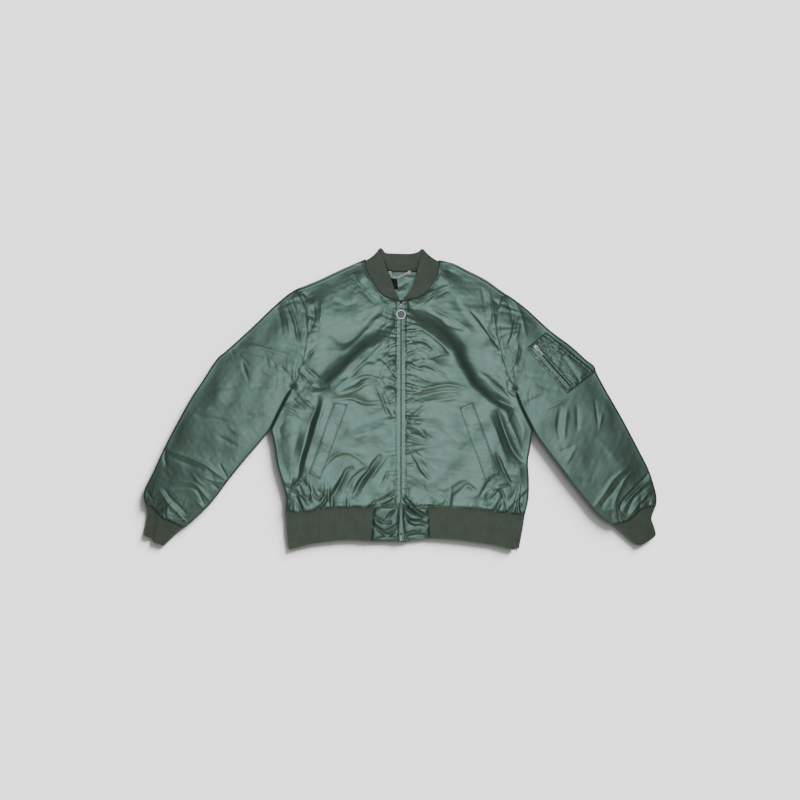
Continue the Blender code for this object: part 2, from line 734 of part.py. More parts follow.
def slider(name, frame_empty, plate_drop, neck=True):
    """Slider body, with its origin at the centre of the bridge's half circle."""
    plate_centre = -plate_drop + SLIDER_PLATE[2] / 2
    shapes = [shape_of(box, SLIDER_PLATE, (0, 0, plate_centre), bevel=0.6)]
    if neck:
        neck_centre = -plate_drop - SLIDER_NECK[2] / 2 + 0.5
        shapes.append(shape_of(box, SLIDER_NECK, (0, 0, neck_centre), bevel=0.5))
    path = bridge_path(plate_centre)
    shapes.append(shape_of(sweep, path, [WIRE] * len(path)))
    return joined(name, shapes, "metal", frame_empty)


def round_pull(name, parent):
    """A ring with a thin plain web, on an eye that rides on the bridge."""
    centre_y = -BRIDGE_RADIUS - EYE_RADIUS - PULL_RADIUS - 0.6
    web, rim, radius = 0.5, 0.9, PULL_RADIUS
    profile = [(0, -web), (radius - 2.4, -web), (radius - 1.8, -rim), (radius - 0.4, -rim), (radius, -0.5),
               (radius, 0.5), (radius - 0.4, rim), (radius - 1.8, rim), (radius - 2.4, web), (0, web)]
    disc = shape_of(lathe, profile, 20, turn=Matrix.Translation((0, centre_y * MM, 0)))
    eye_path = ring_path(EYE_RADIUS, (0, -BRIDGE_RADIUS, 0))
    eye = shape_of(sweep, eye_path, [0.7] * len(eye_path), closed=True)
    neck_y = -BRIDGE_RADIUS - EYE_RADIUS - 0.5
    return joined(name, [disc, eye, shape_of(box, (2.6, 2.6, 1.2), (0, neck_y, 0))], "metal", parent)


def tab_pull(name, parent):
    """A flat tab on an eye that rides on the bridge. It hangs a little below level, on the cloth."""
    start = -BRIDGE_RADIUS - EYE_RADIUS
    centre_y = start - POCKET_PULL_LENGTH / 2
    tab = shape_of(box, (POCKET_PULL_WIDTH, POCKET_PULL_LENGTH, 1.4), (0, centre_y, 0), bevel=0.5)
    eye_path = ring_path(EYE_RADIUS, (0, -BRIDGE_RADIUS, 0))
    eye = shape_of(sweep, eye_path, [0.7] * len(eye_path), closed=True)
    return joined(name, [tab, eye], "metal", parent)


# Materials

def linear(value):
    return value / 12.92 if value <= 0.04045 else ((value + 0.055) / 1.055) ** 2.4


def material(name):
    if name in bpy.data.materials:
        return bpy.data.materials[name]
    colour, roughness, metallic = COLOURS[name]
    made = bpy.data.materials.new(name)
    made.use_nodes = True
    shader = made.node_tree.nodes["Principled BSDF"]
    shader.inputs["Base Color"].default_value = (*[linear(c) for c in colour], 1.0)
    shader.inputs["Roughness"].default_value = roughness
    shader.inputs["Metallic"].default_value = metallic
    return made


def empty(name, location=(0, 0, 0), turn=0.0, parent=None):
    made = bpy.data.objects.new(name, None)
    bpy.context.scene.collection.objects.link(made)
    made.location = Vector(location) * MM
    made.rotation_euler = (0, 0, turn)
    made.parent = parent
    return made


# Pieces

def make_back(parent):
    neck_rows = [(0.0, 46), (0.012, 46)]
    outside = neck_rows + rows_of(24, 16)[1:-1] + [(1.0, 46)]
    inside = neck_rows + rows_of(24, 10)[1:-1] + [(1.0, 46)]
    seams = [body.sleeve_seam for body in BODIES.values()]
    return panel("back", BACK_PATCH, back_inside, back_outside, inside, outside, "satin", parent,
                 inset=0.3, seams=seams, crowding=0.8)


def make_front(side, parent):
    body = BODIES[side]
    hem_rows = [(v, 54) for v in (0.955, 0.978, 1.0)]
    outer = rows_of(36, 20, hem_rows)
    inner = outer[:1] + [(v, 4) for v, count in outer[1:-1]] + outer[-1:]
    return panel(f"front_{side}", body.patch, body.front_outside, body.front_inside, outer, inner, "satin",
                 parent, seams=[body.sleeve_seam, body.hem])


def make_sleeve(side, parent):
    body = BODIES[side]
    plain = [(v * 0.94, 16, 7) for v in crowd_ends(22, 0.3)]
    rows = plain[:-1] + [(0.94, 42, 7), (0.97, 42, 7), (1.0, 42, 20)]
    inner_rows = rows[:1] + [(v, 5, 4) for v in np.linspace(0.02, 0.98, 8)] + rows[-1:]

    def cavity(level, sign):
        def height(points):
            rim = body.sleeve_rim(points)
            return SEAM_LEVEL + sign * (0.2 + (level - 0.2) * ease((rim - SEAM_ALLOWANCE) / 14))
        return height

    return tube(f"sleeve_{side}", body.sleeve, body.sleeve_over, body.sleeve_under, cavity(1.5, 1),
                cavity(1.5, -1), rows, inner_rows, SEAM_ALLOWANCE, "satin", parent,
                seams=[body.sleeve_seam, body.cuff_seam], inset=0.4)


def make_cuff(side, parent):
    seam, end = smooth_line(CUFF_SEAM[side]), smooth_line(CUFF_END[side])
    outer, inner = smooth_line(CUFF_OUTER[side]), smooth_line(CUFF_INNER[side])
    patch = Patch(seam, end, outer, inner)
    top = CUFF_UPPER_INSIDE + CUFF_WALL

    def rim(points):
        return np.minimum(distance(points, outer), distance(points, inner))

    def over(points):
        return top - roll(rim(points), KNIT_ROLL, top - CUFF_LEVEL)

    def under(points):
        return roll(rim(points), KNIT_ROLL, CUFF_LEVEL)

    rows = [(0.0, 42, 20)] + [(v, 11, 7) for v in (0.25, 0.6, 0.9, 1.0)]
    inner_rows = [(0.0, 42, 20), (0.1, 5, 4), (1.0, 5, 4)]
    return tube(f"cuff_{side}", patch, over, under, flat(CUFF_UPPER_INSIDE), flat(CUFF_WALL), rows,
                inner_rows, 4.0, "knit", parent, seams=[seam], inset=0.4)


def make_ribs(parent):
    for side in ("right", "left"):
        outer = smooth_line(RIB_SIDE[side])
        top, bottom = smooth_line(HEM_AT_RIB[side]), smooth_line(RIB_BOTTOM[side])
        patch = Patch(top, bottom, smooth_line(RIB_INNER[side]), outer)
        inside = KNIT_FRONT_INSIDE
        rest = inside - KNIT_LEVEL - SEAM_GAP / 2

        def under(points, outer=outer):
            return inside - rest * (1 - ease(distance(points, outer) / KNIT_ROLL))

        def over(points, outer=outer, bottom=bottom):
            side_drop = roll(distance(points, outer), KNIT_ROLL, rest)
            return inside + KNIT_WALL - np.maximum(side_drop, roll(distance(points, bottom), 3.0, 0.9))

        rows = [(0.0, 30)] + [(v, 18) for v in (0.3, 0.65, 0.9, 0.97, 1.0)]
        inner = [(0.0, 30), (0.5, 12), (1.0, 18)]
        panel(f"rib_front_{side}", patch, over, under, rows, inner, "knit", parent, seams=[BODIES[side].hem])
        make_block(side, parent)
    sides = [smooth_line(BACK_RIB_SIDE[side]) for side in ("right", "left")]
    patch = Patch(BACK_BOTTOM, smooth_line(BACK_RIB_BOTTOM), *sides)

    def rim(points):
        return np.minimum(distance(points, sides[0]), distance(points, sides[1]))

    def inner_face(points):
        return KNIT_WALL + (KNIT_LEVEL - SEAM_GAP / 2 - KNIT_WALL) * (1 - ease(rim(points) / KNIT_ROLL))

    def outer_face(points):
        return roll(rim(points), KNIT_ROLL, KNIT_LEVEL - SEAM_GAP / 2 - KNIT_WALL)

    rows = [(0.0, 46), (0.5, 18), (1.0, 18)]
    return panel("rib_back", patch, inner_face, outer_face, rows, rows, "knit", parent, inset=0.3,
                 crowding=0.8)


def make_block(side, parent):
    """Padded satin square beside the zip, between the waistband's ends."""
    zip_edge = np.array([HEM_AT_BLOCK[side][0], BLOCK_BOTTOM[side][0]], float)
    top, bottom = np.array(HEM_AT_BLOCK[side], float), np.array(BLOCK_BOTTOM[side], float)
    patch = Patch(top, bottom, zip_edge, smooth_line(RIB_INNER[side]))
    lines = [top, bottom, zip_edge, patch.end]

    def over(points):
        off = np.minimum.reduce([distance(points, line) for line in lines])
        share = np.abs(points[:, 0] - ZIP_X) / 64.0
        crumple = np.sin(11.0 * share + 0.05 * points[:, 1]) * ease(off / 12)
        return FRONT_INSIDE + 5.5 - sink(off, 2.6, 8.0) + 0.7 * crumple

    rows = [(v, 12) for v in crowd_ends(13, 0.5)]
    inner = [(v, 5) for v in (0.0, 0.5, 1.0)]
    return panel(f"hem_block_{side}", patch, over, flat(FRONT_INSIDE), rows, inner, "satin", parent,
                 seams=[BODIES[side].hem])


def make_collar(parent):
    """Knit band, narrow at the zip, that stands round the neck and leans back behind it."""
    stations = smooth_line(COLLAR, 3)
    base, free = stations[:, :3].copy(), stations[:, 3:]
    seam = edge(NECK["right"][::-1], BACK_NECK, NECK["left"])
    seat = nearest_on(base[:, :2], seam)[0]
    away = base[:, :2] - seat
    base[:, :2] = seat + away / np.linalg.norm(away, axis=1)[:, None] * COLLAR_SEAT
    wall = Wall()
    loops = []
    for t in range(len(stations)):
        before, after = max(t - 1, 0), min(t + 1, len(stations) - 1)
        ahead = (base[after] + free[after]) - (base[before] + free[before])
        lean = free[t] - base[t]
        out = np.cross(ahead, lean)
        out = out / np.linalg.norm(out)
        bow = 0.06 * np.linalg.norm(lean)
        loop = []
        for face in (1, -1):
            for share in (0.0, 0.5, 1.0)[::face]:
                middle = base[t] + share * lean + out * bow * 4 * share * (1 - share)
                loop.append(tuple(middle + out * face * COLLAR_WALL / 2))
        first = len(wall.points)
        wall.points += loop
        loops.append([(k, first + k) for k in range(6)] + [(6, first)])
    wall.zip_sheet(loops)
    for loop in (loops[0], loops[-1]):
        a, b, c, d, e, f = (index for place, index in loop[:6])
        wall.faces += [(a, b, e), (a, e, f), (b, c, d), (b, d, e)]
    return wall.finish("collar", "knit", parent)


def make_welts(fronts, parent):
    for side, front in fronts.items():
        strip(f"welt_{side}", WELT[side], laid_on(front), WELT_WALL, 5, 15, "satin", parent)


def make_sleeve_pocket(sleeve, parent):
    pocket = strip("sleeve_pocket", SLEEVE_POCKET, laid_on(sleeve), SLEEVE_POCKET_WALL, 8, 9, "satin", parent)
    strip("pen_pocket", PEN_POCKET, laid_on(pocket), PEN_POCKET_WALL, 5, 6, "satin", parent)
    strip("pocket_tab", POCKET_TAB, laid_on(pocket), PEN_POCKET_WALL, 3, 3, "satin", parent)
    start, end = np.array(POCKET_ZIP, float)
    run = (end - start) / np.linalg.norm(end - start)
    across = np.array([-run[1], run[0]]) * POCKET_TAPE_WIDTH / 2
    corners = [start - across, start + across, end + across, end - across]
    tape = strip("pocket_zip_tape", corners, laid_on(pocket), POCKET_TAPE_WALL, 2, 9, "tape", parent)
    return tape


def make_zip(parent):
    for side, sign in (("right", -1), ("left", 1)):
        near, far = ZIP_X + sign * SEAM_GAP / 2, ZIP_X + sign * TAPE_WIDTH
        corners = [(near, ZIP_TOP), (far, ZIP_TOP), (far, ZIP_BOTTOM), (near, ZIP_BOTTOM)]
        strip(f"zip_tape_{side}", corners, flat(TAPE_LEVEL), TAPE_WALL, 2, 3, "tape", parent)
    stop = shape_of(box, (4.3, 14.0, 3.2), (ZIP_X, ZIP_BOTTOM + 9, TAPE_LEVEL + TAPE_WALL + 0.3 + 1.6))
    mesh_object("zip_stop", stop, "metal", parent)
    centre = empty("zip_pull_hinge", (ZIP_X, SLIDER_Y, PULL_LEVEL), 0.0, parent)
    slider("zip_slider", centre, PULL_LEVEL - 13.6)
    round_pull("zip_pull", centre)


def make_pocket_zip(tape, parent):
    start, end = np.array(POCKET_ZIP, float)
    ahead = (end - start) / np.linalg.norm(end - start)
    place = start + ahead * 9.0
    level = float(laid_on(tape, 0.0)(np.array([place + ahead * k for k in (-8, 0, 8, 16, 24)])).max())
    turn = math.atan2(ahead[1], ahead[0]) + math.pi / 2
    centre = empty("pocket_pull_hinge", (*place, level + POCKET_HINGE_LIFT), turn, parent)
    slider("pocket_slider", centre, POCKET_HINGE_LIFT - SEAM_GAP, neck=False)
    tab_pull("pocket_pull", centre).rotation_euler = (math.radians(POCKET_PULL_TILT), 0, 0)


def make_inside(parent):
    strip("neck_lining", LINING, flat(LINING_LEVEL), LINING_WALL, 4, 5, "lining", parent)
    level = LINING_LEVEL + LINING_WALL + SEAM_GAP
    strip("neck_binding", BINDING, flat(level), BINDING_WALL, 6, 2, "satin", parent)
    strip("neck_label", LABEL, flat(level), LABEL_WALL, 2, 3, "label", parent)
    path = along(smooth_line(CHAIN_PATH), np.linspace(0, 1, 2 * CHAIN_LINKS + 1))
    points = [(x, y, CHAIN_LEVEL) for x, y in path]
    radii = [CHAIN_RADIUS if k % 2 else CHAIN_WAIST for k in range(len(points))]
    mesh_object("hanger_chain", shape_of(sweep, points, radii, sides=6), "metal", parent)


def main():
    for obj in list(bpy.data.objects):
        bpy.data.objects.remove(obj, do_unlink=True)
    jacket = empty("bomber_jacket")
    make_back(jacket)
    fronts = {side: make_front(side, jacket) for side in ("right", "left")}
    sleeves = {side: make_sleeve(side, jacket) for side in ("right", "left")}
    for side in ("right", "left"):
        make_cuff(side, jacket)
    make_ribs(jacket)
    make_collar(jacket)
    bpy.context.view_layer.update()
    make_welts(fronts, jacket)
    tape = make_sleeve_pocket(sleeves["left"], jacket)
    make_zip(jacket)
    bpy.context.view_layer.update()
    make_pocket_zip(tape, jacket)
    make_inside(jacket)


main()
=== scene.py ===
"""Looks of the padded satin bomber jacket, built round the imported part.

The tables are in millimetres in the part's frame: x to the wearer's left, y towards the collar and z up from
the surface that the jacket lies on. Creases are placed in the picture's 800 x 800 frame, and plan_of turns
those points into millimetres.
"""

import math

import bmesh
import bpy
import numpy as np
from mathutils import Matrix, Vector
from mathutils.bvhtree import BVHTree


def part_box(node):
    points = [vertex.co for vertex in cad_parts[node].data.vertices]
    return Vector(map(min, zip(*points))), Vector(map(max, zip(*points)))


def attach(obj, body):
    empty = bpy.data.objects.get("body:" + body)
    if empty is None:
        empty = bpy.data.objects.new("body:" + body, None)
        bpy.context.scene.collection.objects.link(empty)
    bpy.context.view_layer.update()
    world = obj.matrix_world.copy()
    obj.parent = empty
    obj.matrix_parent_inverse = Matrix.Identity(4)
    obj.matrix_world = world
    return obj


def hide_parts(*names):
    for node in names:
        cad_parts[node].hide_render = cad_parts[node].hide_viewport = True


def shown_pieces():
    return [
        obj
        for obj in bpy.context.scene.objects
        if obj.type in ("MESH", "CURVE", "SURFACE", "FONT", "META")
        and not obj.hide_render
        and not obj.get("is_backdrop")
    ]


MM = 0.001
PIXEL = 2.35
PICTURE_CENTRE = (400.0, 399.0)
SIGNS = {"right": -1, "left": 1}
SEEDS = {"right": 11, "left": 23}

# Heights, as the solids have them
FRONT_TOP = 17.0
SLEEVE_TOP = 18.0
ARMHOLE_TOP = 16.6
SEAM_LEVEL = 7.5
TOP_ROLL = 6.0
EDGE_DROP = 3.0
UNDER_ROLL = 13.0
BACK_INSIDE = 6.0
KNIT_ROLL = 8.0
RIB_FRONT_INSIDE = 7.0
RIB_FRONT_TOP = 10.5
RIB_BACK_TOP = 3.5
RIB_LEVEL = 5.25
CUFF_TOP = 9.2
CUFF_WALL = 3.0
CUFF_LEVEL = 4.6
BLOCK_TOP = 14.5
TAPE_TOP = 8.5
TAPE_WALL = 1.2
LINING_TOP = 7.5
LINING_UNDER = 6.2
CHAIN_LEVEL = 10.6
COLLAR_WALL = 2.6
COLLAR_SEAT = 1.6

# The front zip. ZIP_COVER is how far each edge of cloth moves over its teeth.
ZIP_X = 2.4
ZIP_TOP = 232.0
ZIP_BOTTOM = -335.0
ZIP_COVER = 2.25
SLIDER_BOTTOM = 207.0
TAPE_WIDTH = 13.0
TOOTH, TOOTH_PITCH = (2.6, 1.1, 2.4), 2.3
POCKET_TOOTH, POCKET_TOOTH_PITCH = (1.1, 0.9, 0.5), 1.9
POCKET_TAPE_SHOWN = 2.6

# Cloth: the groove of the stitches beside the zip, how far the fronts hang over the waistband, how far they fall
# towards the shoulder seams, how far cut edges turn in and down, and the least gap to the table
ZIP_STITCH = 10.8
STITCH_SINK = 0.45
OVERHANG = 7.0
SHOULDER_DROP = 6.0
TURNED_IN = 0.5
TURNED_DOWN = 6.0
SLEEVE_TURNED_IN = 2.0
BACK_TURNED_IN = 3.0
CLEARANCE = 0.3
MOST_BUCKLE = 4.0
CRISPNESS = 0.6

# Stitches: length and pitch. Bars: length.
SEAM_STITCH = (2.6, 3.5)
SMALL_STITCH = (2.4, 3.2)
PEN_STITCH = (2.2, 3.0)
# The dark cords are painted shadow along the pocket mouths; their stitch size and radius follow.
SHADOW_CORD_STITCH = (3.4, 1.6)
THREAD_RADIUS = 0.32
SHADOW_CORD_RADIUS = 1.2
WELT_BAR, POCKET_BAR = 8.0, 7.0

# The hanger chain: links, their tilt in degrees, half widths and wire radii, and the sewn rings at its ends
CHAIN_LINKS = 13
LINK_TILT = 38
LINK_HALF_WIDTH, LINK_WIRE = 1.9, 0.8
RING_RADIUS, RING_WIRE = 3.0, 0.85

# Outlines in plan. The lines of a side run from the collar outwards or down.
NECK = {
    "right": [(-81, 329), (-78, 311), (-66, 283), (-51, 260), (-37, 246), (-20, 237), (-0.15, 232)],
    "left": [(91, 327), (90, 314), (81, 286), (68, 262), (48, 243), (31, 237), (4.95, 232)],
}
BACK_NECK = [(-81, 329), (-70, 318), (-50, 307.5), (-26, 301.5), (5, 299.5), (38, 301.5), (62, 308), (80, 318),
             (91, 327)]
SHOULDER = {
    "right": [(-81, 329), (-141, 303), (-190, 280), (-244, 258)],
    "left": [(91, 327), (127, 318), (157, 303), (202, 280), (235, 256), (248, 247)],
}
ARMHOLE = {
    "right": [(-244, 258), (-230, 230), (-219, 204), (-216, 167), (-220, 127), (-228, 89), (-240, 52), (-251, 31)],
    "left": [(248, 247), (235, 226), (228, 202), (226, 174), (229, 143), (240, 101), (253, 59), (270, 26)],
}
CREASE = {
    "right": [(-251, 31), (-269, 0), (-283, -28), (-304, -71)],
    "left": [(270, 26), (281, -7), (295, -38), (312, -72)],
}
SIDE = {
    "right": [(-304, -71), (-296, -108), (-289, -153), (-277, -195), (-268, -230), (-269, -263)],
    "left": [(312, -72), (306, -115), (301, -148), (303, -190), (302, -233), (294, -271)],
}
HEM_AT_RIB = {
    "right": [(-62, -251), (-113, -251), (-153, -251), (-193, -256), (-235, -261), (-269, -263)],
    "left": [(67, -253), (106, -251), (153, -254), (202, -258), (247, -264), (294, -271)],
}
HEM_AT_BLOCK = {
    "right": [(-0.15, -249), (-62, -251)],
    "left": [(4.95, -249), (67, -253)],
}
RIB_BOTTOM = {
    "right": [(-68, -334), (-118, -331), (-164, -334), (-212, -341), (-261, -354)],
    "left": [(71, -327), (118, -329), (176, -336), (223, -343), (269, -355)],
}
RIB_SIDE = {
    "right": [(-269, -263), (-266, -308), (-261, -354)],
    "left": [(294, -271), (282, -310), (269, -355)],
}
RIB_INNER = {
    "right": [(-62, -251), (-65, -292), (-68, -334)],
    "left": [(67, -253), (69, -290), (71, -327)],
}
BLOCK_BOTTOM = {
    "right": [(-0.15, -335), (-68, -334)],
    "left": [(4.95, -334), (71, -327)],
}
BACK_RIB_SIDE = {
    "right": [(-269, -263), (-266, -308), (-262, -352)],
    "left": [(294, -271), (288, -310), (280, -352)],
}
BACK_HEM = [(-269, -263), (-235, -260), (-190, -255), (-90, -251), (0, -250), (90, -251), (190, -256), (247, -263),
            (294, -271)]
BACK_RIB_BOTTOM = [(-262, -352), (-164, -333), (-60, -331), (60, -326), (176, -334), (280, -352)]
SLEEVE_OUTER = {
    "right": [(-244, 258), (-270, 241), (-306, 209), (-355, 162), (-407, 115), (-431, 94), (-463, 45), (-494, -2),
              (-545, -96), (-578, -167), (-598, -207), (-602, -230), (-598, -249)],
    "left": [(248, 247), (270, 233), (301, 209), (352, 162), (400, 126), (437, 93), (456, 78), (463, 60), (484, 21),
             (524, -49), (564, -125), (585, -167), (598, -207), (603, -230), (602, -251)],
}
SLEEVE_INNER = {
    "right": [(-304, -71), (-324, -96), (-364, -143), (-402, -190), (-437, -237), (-463, -264), (-484, -284),
              (-508, -303)],
    "left": [(312, -72), (327, -96), (362, -143), (397, -190), (435, -237), (454, -261), (477, -283), (498, -295)],
}
CUFF_SEAM = {
    "right": [(-598, -249), (-585, -252), (-573, -264), (-560, -277), (-540, -287), (-519, -297), (-508, -303)],
    "left": [(602, -251), (578, -255), (562, -262), (551, -273), (538, -283), (520, -291), (498, -295)],
}
CUFF_OUTER = {
    "right": [(-598, -249), (-595, -270), (-599, -298), (-604, -317)],
    "left": [(602, -251), (592, -280), (597, -298), (602, -315)],
}
CUFF_END = {
    "right": [(-604, -317), (-595, -323), (-585, -326), (-578, -336), (-566, -340), (-555, -345)],
    "left": [(602, -315), (598, -324), (583, -334), (566, -343), (552, -341)],
}
CUFF_INNER = {
    "right": [(-508, -303), (-517, -309), (-538, -329), (-555, -345)],
    "left": [(498, -295), (522, -315), (543, -334), (552, -341)],
}
WELT = {
    "right": [(-122, -13), (-155, -8), (-214, -175), (-187, -189)],
    "left": [(139, -21), (171, -8), (235, -179), (203, -198)],
}
SLEEVE_POCKET = [(296, 119), (343, 157), (457, 64), (391, 13)]
PEN_POCKET = [(378, 101), (393, 111), (450, 66), (422, 37)]
POCKET_TAB = [(351, 131), (364, 138), (384, 121), (368, 112)]
POCKET_ZIP = [(314, 126), (400, 30)]
LINING = [(-48, 299), (56, 299), (22, 229), (-15, 229)]
BINDING = [(-30, 299.5), (40, 299.5), (38, 291), (-28, 291)]
LABEL = [(-24, 284), (-7, 282), (-4, 258), (-20, 257)]
CHAIN_PATH = [(-24, 297), (-20, 290), (-13, 286), (-3, 287), (8, 292), (22, 298)]

# The collar's stations from the zip round the neck: its seam's x, y and z, then its free edge's
COLLAR = [
    (-2.5, 233.5, 11, -3.2, 237, 12.5), (-20, 239.5, 11.5, -11, 253, 15.5), (-37, 248.5, 12, -18, 273, 19),
    (-50, 262, 12, -26, 291, 22), (-64, 284, 12, -34, 314, 24), (-75, 307, 11.4, -42, 336, 26),
    (-78.5, 320, 10.8, -48.5, 347, 27), (-75, 327, 9.2, -46.5, 352.2, 27), (-65, 320, 6.2, -41, 350.5, 26),
    (-50, 312, 4.5, -34, 342, 25), (-26, 304.5, 4.5, -20, 340.5, 24), (5, 302.5, 4.5, 4, 339.5, 24),
    (38, 304.5, 4.5, 28, 340, 24), (62, 312.5, 4.5, 43, 344.5, 25), (75, 319.5, 6.2, 48, 349, 26),
    (85, 325.5, 9.2, 53, 350.6, 27), (88, 318, 10.8, 55, 345, 27), (86, 306, 11.4, 48, 328, 26),
    (78, 285, 12, 41, 303, 24), (66, 263, 12, 34, 278, 22), (47, 246, 12, 24, 255, 18.5),
    (30, 240, 11.5, 16, 244, 15.5), (8.5, 234.8, 11, 8.5, 237.5, 12.5),
]

